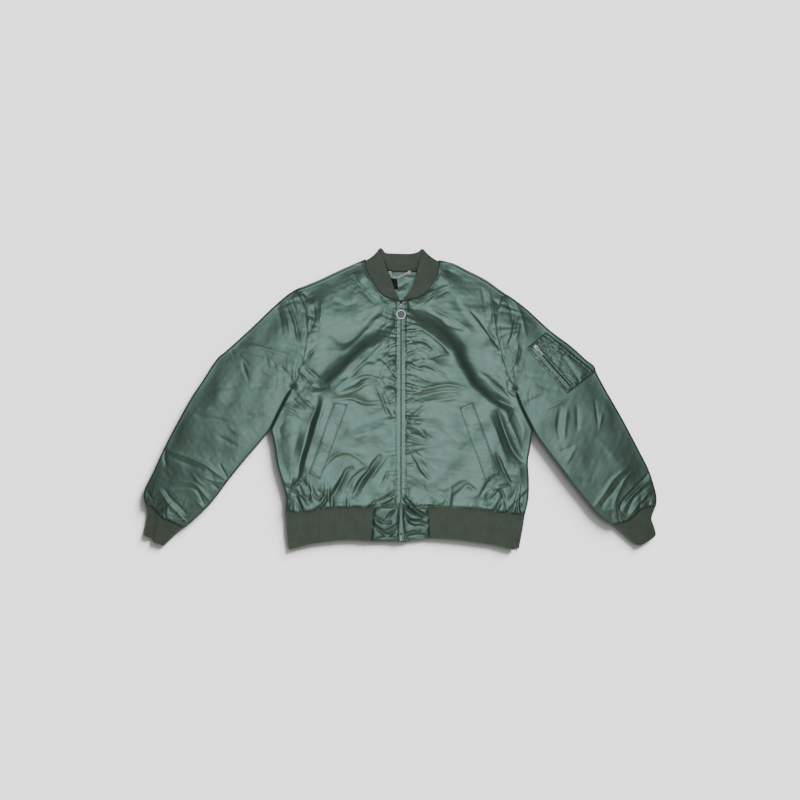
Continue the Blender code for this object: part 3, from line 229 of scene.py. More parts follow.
# Creases: half width and height in millimetres, lean to one side, sharpness, then the path's points in the
# picture, x and y in turn. A trough has a negative height. Sharpness 2 is a soft bell and 1 a sharp line.
BODY_CREASES = {"right": [
    (3.4, 1.8, 0, 1.5, 376, 290, 381, 296, 388, 301, 397, 304),
    (3.4, 1.8, 0, 1.5, 381, 297, 385.5, 302.5, 392, 307),
    (10, -4.5, 0, 1.6, 312, 386, 322, 388, 330, 386),
    (8, 3, 0, 2, 333, 392, 347, 379, 361, 363, 374, 349, 381, 343),
    (15, -4.4, 0.2, 2, 328, 330, 342, 341, 352, 337, 366, 323, 373, 316, 382, 313, 396, 318),
    (14, 3, 0, 2, 316, 352, 330, 352, 345, 350, 356, 340, 366, 331, 378, 325),
    (7, -2.8, 0.2, 1.8, 340, 381, 350, 376, 358, 368, 366, 362, 376, 362),
    (6, 2.6, 0, 1.8, 345, 384, 360, 375, 368, 374, 384, 378),
    (5, -2, 0.2, 1.6, 340, 391, 355, 384, 362, 379, 370, 377, 380, 380),
    (6, 2.6, 0, 1.8, 335, 393, 343, 395, 358, 389, 366, 384, 380, 384),
    (8, -3.4, 0.3, 1.8, 328, 399, 340, 399, 352, 398, 366, 403, 385, 403, 396, 406),
    (5, -3, 0.2, 1.5, 378, 357, 385, 362, 391, 369, 397, 379),
    (5, 2.2, 0, 1.6, 383, 353, 391, 361, 397, 370),
    (4, -2.2, 0, 1.5, 386, 383, 396, 388, 398, 394),
    (5, -3, -0.3, 1.5, 377, 387, 380, 393, 383, 400, 386, 409, 394, 421),
    (5, 2.2, 0, 1.6, 383, 388, 388, 397, 392, 406),
    (4, -2, 0, 1.5, 392, 411, 397, 418),
    (6, -2.6, 0, 1.8, 303, 292, 308, 297, 314, 302),
    (10, 3.2, 0, 2, 322, 300, 321, 318, 317, 330, 311, 338),
    (7, -3, 0, 1.8, 313, 306, 314, 318, 311, 330),
    (5, -2.6, 0.2, 1.5, 318, 345, 311, 353, 304, 362),
    (6, 3.4, 0.2, 1.6, 303, 365, 310, 371, 317, 377, 324, 383),
    (5, -2.8, 0, 1.6, 299, 369, 306, 376, 313, 384),
    (6, 3.6, 0.2, 1.5, 296, 389, 302, 396, 307, 402, 315, 409),
    (4, -2.4, 0, 1.5, 300, 394, 306, 399, 311, 400),
    (5, -3, 0, 1.5, 292, 397, 298, 404, 306, 409),
    (4, -2.6, 0, 1.4, 281, 411, 290, 413, 297, 417, 302, 422),
    (5, 2.4, 0, 1.6, 284, 405, 293, 408, 301, 413),
    (15, -12.5, -0.5, 1.3, 318, 393, 317, 405, 311, 422, 305, 443, 300, 462, 298, 480),
    (9, 3, 0, 2, 324, 398, 321, 412, 315, 432, 309, 452, 304, 470),
    (11, 1.6, 0, 2, 301, 428, 296, 445, 291, 462, 288, 474),
    (5, 4, 0.2, 1.6, 282, 481, 289, 485, 295, 485, 300, 480, 304, 473),
    (4, -3.2, 0.2, 1.4, 285, 487, 292, 490, 300, 494, 310, 499),
    (5, -3.2, 0.2, 1.4, 299, 477, 307, 486, 315, 496),
    (5, -3, 0, 1.4, 317, 489, 323, 495, 327, 500, 329, 506),
    (9, -7, 0.45, 1.35, 354, 467, 347, 470, 343, 478, 337, 489, 328, 505),
    (7, 3.6, 0, 1.8, 322, 470, 331, 459, 340, 453, 350, 453, 360, 459, 366, 465),
    (6, -3, 0.2, 1.7, 368, 467, 358, 474, 352, 480, 347, 490),
    (8, -6.5, 0.5, 1.35, 381, 454, 374, 463, 369, 471, 361, 481, 352, 498),
    (7, 3.2, 0, 1.9, 387, 455, 379, 466, 370, 478, 360, 492),
    (6, -2, 0, 2, 388, 470, 385, 479, 380, 488),
    (4, -3, 0, 1.5, 378, 505, 388, 500, 397, 496),
    (16, 2, 0, 2, 346, 430, 356, 436, 368, 432),
    (14, -1.8, 0, 2, 334, 298, 345, 305, 356, 302, 362, 290),
    (8, -2, 0, 2, 352, 275, 360, 285, 368, 296, 377, 304),
], "left": [
    (3.4, 1.6, 0, 1.5, 404, 302, 411, 299.5, 419, 298.5, 425, 295, 431, 289),
    (3.4, 1.8, 0, 1.5, 406, 304.5, 414, 303, 421, 301, 428, 296.5, 437, 290.5, 446, 286),
    (3.4, 2, 0, 1.5, 409, 309.5, 414.5, 306.3, 421, 303.5, 429, 299, 439, 293, 448, 289),
    (5, 2.6, 0, 1.7, 409, 301, 420, 298, 432, 292, 451, 285),
    (4, -2.2, 0, 1.6, 410, 306, 420, 303, 432, 297, 448, 290),
    (5, 2, 0, 1.7, 412, 310, 421, 306, 430, 299, 449, 288),
    (6, -2.6, 0.3, 1.6, 425, 311, 441, 319, 447, 325, 464, 330),
    (8, 2.6, 0, 2, 428, 306, 444, 314, 458, 322, 472, 332),
    (8, 3.4, 0, 1.9, 408, 325, 418, 327, 428, 333, 438, 341, 446, 349, 451, 358),
    (4, -2.2, 0, 1.4, 408, 337, 418, 332, 425, 334),
    (5, -2.4, 0.2, 1.5, 408, 343, 422, 341, 433, 348, 440, 353),
    (4, 1.8, 0, 1.6, 410, 348, 421, 345, 431, 351),
    (4, -2.2, 0, 1.4, 408, 354, 420, 349, 428, 352),
    (5, -2, 0.2, 1.6, 428, 359, 443, 354, 452, 356),
    (5, -2.8, 0.2, 1.5, 409, 371, 418, 367, 426, 365, 440, 373, 450, 379),
    (5, 2, 0, 1.7, 411, 364, 420, 361, 430, 360, 440, 366),
    (4, -2.2, 0, 1.5, 410, 377, 418, 377, 428, 380, 438, 382),
    (6, 3.8, 0.3, 1.6, 409, 396, 420, 391, 430, 388, 450, 385, 470, 390),
    (5, -2.8, 0, 1.5, 410, 400, 422, 396, 434, 393, 452, 391, 466, 394),
    (5, 2.4, 0, 1.7, 418, 405, 430, 401, 445, 400, 460, 397),
    (4, -2.4, 0, 1.4, 409, 418, 418, 411, 425, 405),
    (4, 1.6, 0, 1.5, 409, 425, 417, 419, 424, 417),
    (4, -2, 0, 1.5, 408, 448, 418, 454, 424, 458),
    (6, -3.2, 0.3, 1.6, 412, 454, 417, 461, 421, 469, 431, 481),
    (7, 2, 0, 1.9, 418, 452, 425, 462, 434, 474),
    (4, -1.8, 0, 1.5, 407, 464, 415, 464),
    (14, -3, 0, 2, 455, 298, 462, 311, 470, 322, 481, 333),
    (6, -3.2, 0.3, 1.6, 470, 310, 478, 319, 485, 328, 492, 338, 500, 351),
    (6, 2.2, 0, 1.8, 488, 290, 491, 300, 493, 312, 493, 326),
    (6, -1.6, 0, 1.8, 482, 288, 484, 300, 485, 312),
    (14, -11, -0.5, 1.3, 497, 409, 502, 425, 507, 438, 513, 451, 523, 464),
    (8, 2.6, 0, 2, 505, 409, 510, 424, 517, 440, 522, 452),
    (9, 2.2, 0, 2, 488, 414, 495, 430, 501, 446, 507, 462),
    (7, -6, -0.5, 1.3, 496, 452, 501, 465, 506, 476, 511, 486),
    (6, 3.2, 0.2, 1.7, 478, 372, 486, 377, 494, 385, 503, 392, 510, 399),
    (4, -2.4, 0, 1.5, 492, 377, 500, 384, 508, 392),
    (4, 2.2, 0, 1.5, 499, 385, 506, 390, 515, 396, 520, 402),
    (4, -2.2, 0, 1.5, 495, 400, 504, 404, 514, 408, 520, 411),
    (5, -3, 0, 1.5, 418, 509, 412, 504, 405, 497),
    (4, -3, 0, 1.4, 420, 505, 432, 505, 440, 504, 447, 501),
    (5, -2.2, 0, 1.6, 430, 497, 436, 502, 441, 505),
    (8, -3, 0, 1.8, 452, 497, 460, 491, 468, 485, 478, 494),
    (10, 2.4, 0, 2, 440, 490, 450, 486, 460, 480, 470, 478),
    (5, 4.4, 0.2, 1.6, 488, 500, 495, 491, 502, 486, 511, 486),
    (5, -4.2, 0, 1.5, 492, 489, 500, 489, 505, 502, 506, 509),
    (5, 3.4, 0, 1.6, 511, 507, 514, 502, 518, 497, 527, 489),
    (4, -3, 0, 1.5, 517, 499, 520, 504, 524, 510),
    (6, -3.4, 0.2, 1.6, 480, 496, 484, 490, 490, 480, 498, 474),
    (20, 2, 0, 2, 440, 425, 452, 436, 462, 448),
    (6, -1.6, 0, 1.8, 423, 283, 432, 276, 440, 270),
]}
BLOCK_CREASES = {"right": [
    (4, 2.6, 0, 1.6, 376, 510, 386, 504, 396, 497),
    (6, -3.4, 0, 1.8, 371, 503, 384, 499, 396, 491),
    (4, -3.2, 0, 1.5, 386, 520, 391, 513, 398, 508),
    (4, -2.8, 0.3, 1.5, 373, 516, 383, 522, 392, 522),
    (5, 3.2, 0, 1.5, 373, 520, 380, 526, 386, 528, 397, 522),
    (5, -3.6, 0.2, 1.5, 372, 525, 380, 531, 388, 535, 398, 529),
    (6, -3, 0, 1.6, 376, 539, 386, 537, 397, 538),
], "left": [
    (7, -5, 0, 1.6, 404, 495, 408, 502, 413, 508, 420, 513, 428, 518),
    (5, 3, 0, 1.5, 404, 502, 409, 510, 416, 515),
    (7, -4.5, 0.2, 1.6, 405, 516, 412, 522, 421, 523, 428, 526),
    (4, 2.2, 0, 1.5, 406, 512, 412, 518, 423, 518),
    (5, 2.2, 0, 1.6, 406, 533, 413, 529, 421, 531),
    (6, -3.5, 0, 1.6, 406, 537, 414, 535, 427, 535),
]}
SLEEVE_CREASES = {"right": [
    (7, -4.2, 0.3, 1.6, 287, 300, 290, 307, 293, 315, 296, 325, 299, 343),
    (8, 2.6, 0, 1.9, 281, 303, 286, 313, 289, 324, 291, 338),
    (5, -2.4, 0, 1.6, 291, 297, 294, 305, 298, 315),
    (8, -2.2, 0, 2, 277, 306, 281, 320, 283, 336),
    (6, 3.6, 0.2, 1.6, 240, 344, 252, 346, 262, 348, 275, 352, 290, 357, 303, 366),
    (5, -2.4, 0, 1.5, 240, 350, 255, 353, 268, 357, 280, 363),
    (5, -2.6, 0.2, 1.6, 242, 360, 245, 370, 249, 382),
    (4, -1.6, 0, 1.5, 231, 350, 236, 357),
    (4, -1.8, 0, 1.5, 238, 354, 250, 365),
    (4, -1.8, 0, 1.5, 266, 357, 270, 368),
    (4, -1.8, 0, 1.5, 273, 361, 278, 372),
    (5, -2.2, 0, 1.6, 280, 366, 288, 374, 294, 384),
    (6, 1.6, 0, 1.8, 262, 370, 272, 376, 283, 378),
    (5, -1.8, 0, 1.7, 251, 387, 262, 385, 279, 387),
    (7, -1.6, 0, 1.8, 200, 387, 216, 388, 236, 387),
    (7, -2.2, 0, 1.8, 208, 409, 220, 407, 233, 403),
    (8, -2.2, 0, 1.8, 195, 415, 210, 418, 225, 421, 236, 425),
    (7, -2, 0, 1.8, 244, 416, 255, 416, 264, 413),
    (7, -2, 0, 1.8, 218, 435, 228, 441, 239, 446),
    (8, 1.8, 0, 2, 228, 425, 236, 432, 246, 434),
    (6, 4, 0.3, 1.5, 166, 449, 176, 453, 188, 457, 205, 464, 213, 470, 221, 476, 228, 481),
    (6, -2.4, 0, 1.7, 170, 456, 182, 461, 196, 466, 206, 471),
    (4, -2.4, 0, 1.5, 220, 463, 224, 471, 228, 478),
    (4, 2.4, 0, 1.5, 204, 477, 212, 480, 220, 482, 228, 480),
    (4, 2, 0, 1.5, 192, 473, 198, 480, 205, 486),
    (4, -2.4, 0, 1.5, 212, 483, 217, 487, 222, 491),
    (5, -2.8, 0.2, 1.5, 171, 488, 181, 487, 190, 487, 198, 491, 205, 505),
    (5, 2.6, 0, 1.6, 172, 483, 184, 482, 195, 484, 204, 493, 212, 503),
    (5, 2.8, 0.2, 1.6, 160, 489, 165, 497, 170, 504, 178, 512, 189, 524),
    (5, -2.6, 0, 1.6, 164, 487, 170, 496, 178, 504, 188, 514),
    (6, -2.8, 0, 1.7, 166, 447, 165, 456, 167, 467),
    (5, -2.4, 0, 1.7, 146, 489, 150, 495, 155, 500),
    (6, 2.2, 0, 1.8, 196, 500, 204, 508, 210, 516),
], "left": [
    (6, -3.4, 0.2, 1.6, 516, 314, 514, 324, 512, 335, 507, 348),
    (6, 2.4, 0, 1.7, 519, 316, 518, 328, 515, 341),
    (6, 3, 0.2, 1.6, 513, 298, 518, 309, 522, 320, 526, 338),
    (5, -2.2, 0, 1.7, 508, 303, 511, 312, 512, 322),
    (5, 2.8, 0, 1.6, 518, 342, 517, 352, 514, 362, 509, 373),
    (5, -2.8, 0, 1.6, 522, 346, 521, 356, 517, 366),
    (7, -1.8, 0, 1.8, 508, 372, 520, 373, 532, 376, 546, 377),
    (5, -1.8, 0, 1.7, 535, 384, 546, 387, 557, 389),
    (6, -2, 0, 1.7, 524, 404, 534, 399, 546, 394),
    (5, 2.4, 0, 1.6, 540, 411, 547, 408, 555, 405, 569, 398),
    (8, -2.8, 0, 1.9, 560, 407, 558, 420, 558, 431, 561, 442),
    (8, 2.4, 0, 2, 567, 406, 565, 424, 563, 442),
    (7, -2.4, 0, 1.9, 576, 404, 577, 418, 577, 432),
    (4, -2.2, 0.2, 1.5, 594, 398, 596, 414, 598, 430),
    (5, 1.8, 0, 1.6, 602, 413, 600, 422, 598, 431),
    (6, -1.6, 0, 1.8, 560, 451, 567, 448, 574, 445),
    (6, 1.8, 0, 1.8, 576, 446, 571, 455, 566, 464),
    (8, 4, 0.2, 1.8, 629, 466, 620, 473, 612, 480, 605, 491, 593, 508),
    (5, -3, 0, 1.7, 620, 482, 612, 492, 606, 499, 600, 508),
    (6, 3.4, 0.2, 1.7, 632, 471, 624, 480, 618, 491, 614, 504, 617, 516),
    (6, -5.4, 0.3, 1.6, 650, 471, 644, 478, 637, 486, 629, 494, 621, 503, 618, 513),
    (5, 3.8, 0, 1.6, 653, 479, 645, 483, 637, 490, 626, 502, 622, 514),
    (4, -3.4, 0, 1.5, 649, 485, 640, 492, 632, 500, 626, 513),
    (5, 3, 0, 1.6, 651, 491, 644, 497, 637, 505, 627, 518),
    (4, -2.6, 0, 1.5, 652, 494, 646, 499, 641, 505),
    (14, 2, 0, 2, 560, 470, 575, 476, 590, 480),
    (14, 2, 0, 2, 596, 438, 606, 448, 616, 462),
    (8, -1.6, 0, 1.8, 546, 352, 552, 360, 556, 366),
    (6, 1.6, 0, 1.8, 539, 318, 548, 325, 558, 334),
]}
# The steps beside the sagging fronts, as folds reads them: four sizes, then the path in the picture
BODY_FOLDS = {
    "right": (15, 15, 30, 17, 308, 392, 318, 387, 328, 379, 338, 371, 347, 361, 356, 352, 366, 344.5, 377, 340, 385,
              338, 396, 337),
    "left": (24, 10, 27, 18, 404, 316, 412, 318, 424, 321, 437, 328, 447.5, 337, 454, 346, 459, 355, 464, 364, 470,
             374, 475, 383, 483, 390, 491, 398, 503, 407, 514, 413),
}

LINING_CREASES = [
    (5, -1.6, 0, 1.6, 396, 288, 399, 287, 404, 284, 409, 281),
    (5, 1.6, 0, 1.7, 397, 292, 401, 291, 406, 289),
    (5, 1, 0, 1.7, 404, 276, 410, 278, 416, 277),
]
CUFF_FOLD = [(153, 508), (155, 520), (152, 538)]
PEN_MOUTH = [(556, 351), (561, 354), (566, 359.5), (571.7, 369), (577.6, 384)]

CREASE_SHARE = 0.84
SLEEVE_CREASE_SHARE = 0.58
CREASE_WIDTH = 0.68
SLEEVE_CREASE_WIDTH = 0.65
RIB_PITCH = 4.3
RIB_HEIGHT = 0.6

# Counts of points
FRONT_GRID = (150, 300)
SLEEVE_GRID = (92, 26, 290)
BACK_GRID = (132, 150)

UP = np.array([0.0, 0.0, 1.0])

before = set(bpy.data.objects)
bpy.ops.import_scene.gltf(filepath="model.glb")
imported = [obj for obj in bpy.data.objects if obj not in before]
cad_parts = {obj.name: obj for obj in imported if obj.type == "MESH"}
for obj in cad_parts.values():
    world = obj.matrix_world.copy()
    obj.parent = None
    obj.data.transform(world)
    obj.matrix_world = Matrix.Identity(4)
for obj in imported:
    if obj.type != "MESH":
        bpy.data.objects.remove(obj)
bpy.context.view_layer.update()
surfaces = {}


# Lines and patches

def plan_of(points):
    """Millimetres in plan, from the picture's points or from x and y in turn."""
    return (np.reshape(points, (-1, 2)) - PICTURE_CENTRE) * (PIXEL, -PIXEL)


def smooth_line(points, steps=8):
    p = np.asarray(points, float)
    q = np.vstack([2 * p[0] - p[1], p, 2 * p[-1] - p[-2]])
    t = np.linspace(0, 1, steps, endpoint=False)[:, None]
    spans = [
        0.5 * (2 * b + (c - a) * t + (2 * a - 5 * b + 4 * c - d) * t**2 + (3 * b - 3 * c + d - a) * t**3)
        for a, b, c, d in zip(q, q[1:], q[2:], q[3:])
    ]
    return np.vstack(spans + [p[-1:]])


def edge(*tables):
    lines = [smooth_line(table) for table in tables]
    return np.vstack(lines[:1] + [line[1:] for line in lines[1:]])


def lengths_of(line):
    lengths = np.linalg.norm(np.diff(line, axis=0), axis=1)
    return lengths, np.concatenate([[0.0], np.cumsum(lengths)])


def along(line, fractions):
    reach = lengths_of(line)[1]
    at = np.asarray(fractions, float) * reach[-1]
    return np.stack([np.interp(at, reach, line[:, k]) for k in range(line.shape[1])], axis=-1)


def length_of(line):
    return float(lengths_of(line)[0].sum())


def unit(vectors):
    return vectors / np.linalg.norm(vectors, axis=-1)[..., None]


def left_of(ahead):
    """Plan directions turned by a quarter to their left."""
    return np.stack([-ahead[..., 1], ahead[..., 0]], axis=-1)


def project(points, line):
    """For points of shape (n, 2): distance to the line, left-signed offset and fraction along it."""
    start, run = line[:-1], np.diff(line, axis=0)
    lengths, reach = lengths_of(line)
    best = np.full(len(points), np.inf)
    offset, fraction = np.zeros(len(points)), np.zeros(len(points))
    for k, (step, length) in enumerate(zip(run, lengths)):
        away = points - start[k]
        t = np.clip(away @ step / length**2, 0, 1)
        gap = away - t[:, None] * step
        d = np.hypot(gap[:, 0], gap[:, 1])
        closer = d < best
        best = np.where(closer, d, best)
        offset = np.where(closer, (step[0] * away[:, 1] - step[1] * away[:, 0]) / length, offset)
        fraction = np.where(closer, (reach[k] + t * length) / reach[-1], fraction)
    return best, offset, fraction


def distance(points, *lines):
    """Distance to the nearest of the lines."""
    return np.minimum.reduce([project(points, line)[0] for line in lines])


class Patch:
    """Coons patch: u along the top and bottom lines, v along the start and end lines."""

    def __init__(self, top, bottom, start, end):
        self.top, self.bottom, self.start, self.end = self.lines = top, bottom, start, end

    def grid(self, us, vs):
        us, vs = np.asarray(us, float), np.asarray(vs, float)
        uu, vv = us[None, :, None], vs[:, None, None]
        across = (1 - vv) * along(self.top, us)[None] + vv * along(self.bottom, us)[None]
        down = (1 - uu) * along(self.start, vs)[:, None] + uu * along(self.end, vs)[:, None]
        corners = (1 - vv) * ((1 - uu) * self.top[0] + uu * self.top[-1])
        corners = corners + vv * ((1 - uu) * self.bottom[0] + uu * self.bottom[-1])
        return across + down - corners


def quad_patch(corners):
    a, b, c, d = (np.asarray(corner, float) for corner in corners)
    return Patch(np.array([a, b]), np.array([d, c]), np.array([a, d]), np.array([b, c]))


def flatten(points):
    return points.reshape(-1, points.shape[-1])


def raised(plan, height):
    """Plan points with this height, one number or one for each point."""
    return np.dstack([plan, np.broadcast_to(np.ravel(height), plan[..., 0].size).reshape(plan.shape[:2])])


def crowd_ends(count, share=0.4):
    t = np.linspace(0, 1, count)
    return t - share * np.sin(2 * math.pi * t) / (2 * math.pi)


# Heights of cloth

def ease(t):
    t = np.clip(t, 0, 1)
    return t * t * (3 - 2 * t)


def bell(off, width, power=2):
    return np.exp(-((off / width) ** power))


def roll(off, radius, drop):
    t = 1 - np.clip(off / radius, 0, 1)
    return drop * (1 - np.sqrt(np.maximum(1 - t * t, 0)))


def taper(t):
    return np.clip(np.sin(math.pi * t), 0, 1) ** 0.6


def ripple(points, scale, seed):
    """Smooth uneven height from -1 to 1, made of a few fixed waves."""
    rng = np.random.default_rng(seed)
    total = np.zeros(len(points))
    for _ in range(9):
        angle, phase = rng.uniform(0, 2 * math.pi, 2)
        wave = rng.uniform(0.7, 1.6) / scale
        total += np.sin(2 * math.pi * wave * (points @ (math.cos(angle), math.sin(angle))) + phase)
    return total / 4.5


def creases(points, table, share=CREASE_WIDTH):
    """Ridges and troughs. One that runs across the jacket falls steeply towards the hem."""
    height = np.zeros(len(points))
    for number, (width, rise, lean, sharpness, *path) in enumerate(table):
        line = smooth_line(plan_of(path), 5)
        reach = 4 * width
        near = np.flatnonzero(((points > line.min(0) - reach) & (points < line.max(0) + reach)).all(1))
        if not len(near):
            continue
        d, side, t = project(points[near], line)
        chord = line[-1] - line[0]
        across = chord[0] / np.linalg.norm(chord)
        skew = lean if lean else 0.5 * across * np.sign(rise)
        steep = np.clip(-np.sign(side) * across * np.sign(rise), 0, 1) if not lean else 0.0
        local = share * width * (1 + skew * np.sign(side) * np.minimum(np.abs(side) / width, 1))
        uneven = 1 + 0.16 * np.sin(9.0 * t + 1.7 * number)
        crest = 1 + (0.65 if rise > 0 else 1.0) * (sharpness - 1)
        height[near] += rise * uneven * taper(t) * bell(d, local, crest + (1.15 - crest) * steep)
    return height


def fold(points, table):
    """A step from high cloth on the right of a path to low cloth on its left. The table holds the widths of the
    step on the high side at its start and end, its width on the low side, its drop, and the path."""
    high_start, high_end, low, drop, *path = table
    d, side, t = project(points, smooth_line(plan_of(path), 5))
    width = np.where(side > 0, low, high_start + (high_end - high_start) * t)
    u = np.clip(d / width, 0, 1)
    fade = bell(np.maximum(d - width, 0), np.where(side > 0, 75.0, 60.0), 1.6)
    return drop * np.where(side > 0, -0.6, 0.4) * u * (2 - u) * fade * taper(t)


def crumple(points, scale, seed):
    """A network of thin ridges, from 0 to 1, as crushed cloth has."""
    coarse = np.clip(1 - 2.4 * np.abs(ripple(points, scale, seed)), 0, 1) ** 1.6
    fine = np.clip(1 - 2.4 * np.abs(ripple(points, scale * 0.55, seed + 1)), 0, 1) ** 1.6
    return 0.65 * coarse + 0.35 * fine


def gathers(points, line, pitch, rise, reach, seed, fan=0.35):
    """Uneven lobes along a seam, with sharp valleys between them, that fade away from it."""
    rng = np.random.default_rng(seed)
    d, _, t = project(points, line)
    total = length_of(line)
    steps = rng.uniform(0.5, 1.6, int(total / pitch) + 2)
    knots = np.concatenate([[0.0], np.cumsum(steps)]) * total / steps.sum()
    sizes, reaches = rng.uniform(0.35, 1.25, len(steps)), reach * rng.uniform(0.45, 1.7, len(steps))
    phase = rng.uniform(0, 2 * math.pi, 2)
    s = t * total
    s = s + fan * d * (np.sin(s / 21.0 + phase[0]) + 0.6 * np.sin(s / 9.0 + phase[1]))
    s = np.clip(s, 0, total * 0.9999)
    k = np.clip(np.searchsorted(knots, s, side="right") - 1, 0, len(steps) - 1)
    local = (s - knots[k]) / (knots[k + 1] - knots[k])
    lobe = np.sin(math.pi * np.clip(local, 0, 1)) ** 0.75
    return rise * sizes[k] * lobe * bell(d, reaches[k], 1.4)


# Cloth that is a little longer than its outline buckles on the padding

# For each level: share of the grid's points, steps, bending, and first unevenness in millimetres
LEVELS = ((0.2, 120, 0.004, 1.6), (0.45, 120, 0.006, 0.5), (1.0, 90, 0.010, 0.18))


def around(grid):
    """The sum of each inner point's four neighbours."""
    return grid[:-2, 1:-1] + grid[2:, 1:-1] + grid[1:-1, :-2] + grid[1:-1, 2:]


def resample(grid, rows, columns):
    """The grid's values at this many rows and columns."""
    for axis, count in ((1, columns), (0, rows)):
        at = np.linspace(0, grid.shape[axis] - 1, count)
        low = np.minimum(at.astype(int), grid.shape[axis] - 2)
        share = (at - low).reshape([-1 if k == axis else 1 for k in range(grid.ndim)])
        grid = np.take(grid, low, axis) * (1 - share) + np.take(grid, low + 1, axis) * share
    return grid


def pull(a, b, rest):
    """Moves pairs of points towards their length at rest."""
    gap = b - a
    reach = np.sqrt((gap * gap).sum(2)) + 1e-9
    push = gap * (0.48 * (reach - rest) / reach)[..., None]
    a += push
    b -= push


def buckle(p, target, excess, follow, limit, steps, bend):
    """Pulls the grid p towards lengths that are longer than the target's by excess along u and v."""
    rows, columns = target.shape[:2]
    over_u, over_v = excess
    rest_u = np.linalg.norm(np.diff(target, axis=1), axis=2) * (1 + (over_u[:, 1:] + over_u[:, :-1]) / 2)
    rest_v = np.linalg.norm(np.diff(target, axis=0), axis=2) * (1 + (over_v[1:] + over_v[:-1]) / 2)
    keep = 1 - follow[1:-1, 1:-1, None]
    for _ in range(steps):
        for parity in (0, 1):
            end = parity + 2 * ((columns - parity) // 2)
            pull(p[:, parity:end:2], p[:, parity + 1:end:2], rest_u[:, parity:end:2])
            end = parity + 2 * ((rows - parity) // 2)
            pull(p[parity:end:2], p[parity + 1:end:2], rest_v[parity:end:2])
        off = p - target
        off[0], off[-1], off[:, 0], off[:, -1] = 0, 0, 0, 0
        bow = np.zeros_like(off)
        bow[1:-1, 1:-1] = around(off) - 4 * off[1:-1, 1:-1]
        off[1:-1, 1:-1] -= bend * (around(bow) - 4 * bow[1:-1, 1:-1])
        off[1:-1, 1:-1] = np.clip(off[1:-1, 1:-1] * keep, -limit, limit)
        p = target + off
    return p


def relax(target, excess, follow, limit, seed, crisp=0.0):
    """Lets a grid of points buckle, from long waves to short ones. excess holds the extra length along u and v,
    0.02 for 2%. follow pulls each point back to its target, limit caps how far it may move, and crisp sharpens
    small ridges and valleys by this share of their height."""
    rng = np.random.default_rng(seed)
    shape = target.shape[:2]
    parts = [np.reshape(part, shape) for part in (*excess, follow)]
    off = np.zeros((4, 4, 3))
    for share, steps, bend, first in LEVELS:
        size = [max(int(count * share), 8) for count in shape]
        here = resample(target, *size)
        bump = rng.normal(size=size)
        for _ in range(2):
            bump[1:-1, 1:-1] = around(bump) / 4
        bump *= first / bump.std() * 0.5
        off = resample(off, *size)
        off[1:-1, 1:-1, 2] += bump[1:-1, 1:-1]
        over_u, over_v, local = (resample(part, *size) for part in parts)
        off = buckle(here + off, here, (over_u, over_v), local, limit, steps, bend) - here
    points = target + resample(off, *shape)
    if crisp:
        z = points[..., 2]
        soft = z.copy()
        for _ in range(9):
            soft[1:-1, 1:-1] = (soft[1:-1, 1:-1] * 2 + around(soft)) / 6
        points[..., 2] = z + crisp * np.clip(z - soft, -1.2, 1.2)
    return points


# Meshes

def numbers_of(grid):
    return np.arange(grid[..., 0].size).reshape(grid.shape[:2])


def quads(index, closed=False):
    """Faces between neighbours in rows of point numbers. closed joins the end of each row to its start."""
    index = np.asarray(index)
    if closed:
        index = np.hstack([index, index[:, :1]])
    return np.stack([index[:-1, :-1], index[:-1, 1:], index[1:, 1:], index[1:, :-1]], axis=-1).reshape(-1, 4)


def rim_of(grid):
    """The point numbers along a grid's rim."""
    index = numbers_of(grid)
    return np.concatenate([index[0], index[1:, -1], index[-1, -2::-1], index[-2:0:-1, 0]])


def closed_sheet(top, under):
    """Points and faces of a wall between two grids of the same size."""
    index, loop = numbers_of(top), rim_of(top)
    faces = [quads(index), quads(index + index.size)[:, ::-1], quads([loop, loop + index.size], closed=True)]
    return np.vstack([flatten(top), flatten(under)]), np.vstack(faces)


def edged(grid, turned):
    """A grid of points whose rim is joined to the points turned, one for each point of the rim."""
    index, loop = numbers_of(grid), rim_of(grid)
    faces = [quads(index), quads([loop, index.size + np.arange(len(loop))], closed=True)]
    return np.vstack([flatten(grid), turned]), np.vstack(faces)


def joined(meshes):
    """One mesh from several pairs of points and faces."""
    verts, faces = [], []
    for points, polygons in meshes:
        faces += [tuple(k + len(verts) for k in polygon) for polygon in polygons]
        verts += list(points)
    return verts, faces


def add_object(name, data):
    obj = bpy.data.objects.new(name, data)
    bpy.context.scene.collection.objects.link(obj)
    return obj


def make_object(name, verts, faces, material, uv=None, node=None, slot=None, smooth=True, rim=()):
    """verts in millimetres, faces as rows of three or four point numbers. The cloth turns sharply along rim."""
    mesh = bpy.data.meshes.new(name)
    mesh.from_pydata((np.asarray(verts, float) * MM).tolist(), [], [list(map(int, face)) for face in faces])
    if uv is not None:
        layer = mesh.uv_layers.new(name="UVMap")
        corners = np.empty(len(mesh.loops), np.int32)
        mesh.loops.foreach_get("vertex_index", corners)
        layer.data.foreach_set("uv", (np.asarray(uv)[corners] * MM).astype(np.float32).ravel())
    mesh.validate()
    made = bmesh.new()
    made.from_mesh(mesh)
    bmesh.ops.recalc_face_normals(made, faces=made.faces)
    made.to_mesh(mesh)
    made.free()
    if smooth:
        mesh.shade_smooth()
    if len(rim):
        ends = np.empty(len(mesh.edges) * 2, np.int32)
        mesh.edges.foreach_get("vertices", ends)
        mesh.edges.foreach_set("use_edge_sharp", np.isin(ends.reshape(-1, 2), rim).all(1))
    mesh.materials.append(material)
    obj = add_object(name, mesh)
    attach(obj, "garment")
    if node:
        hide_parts(node)


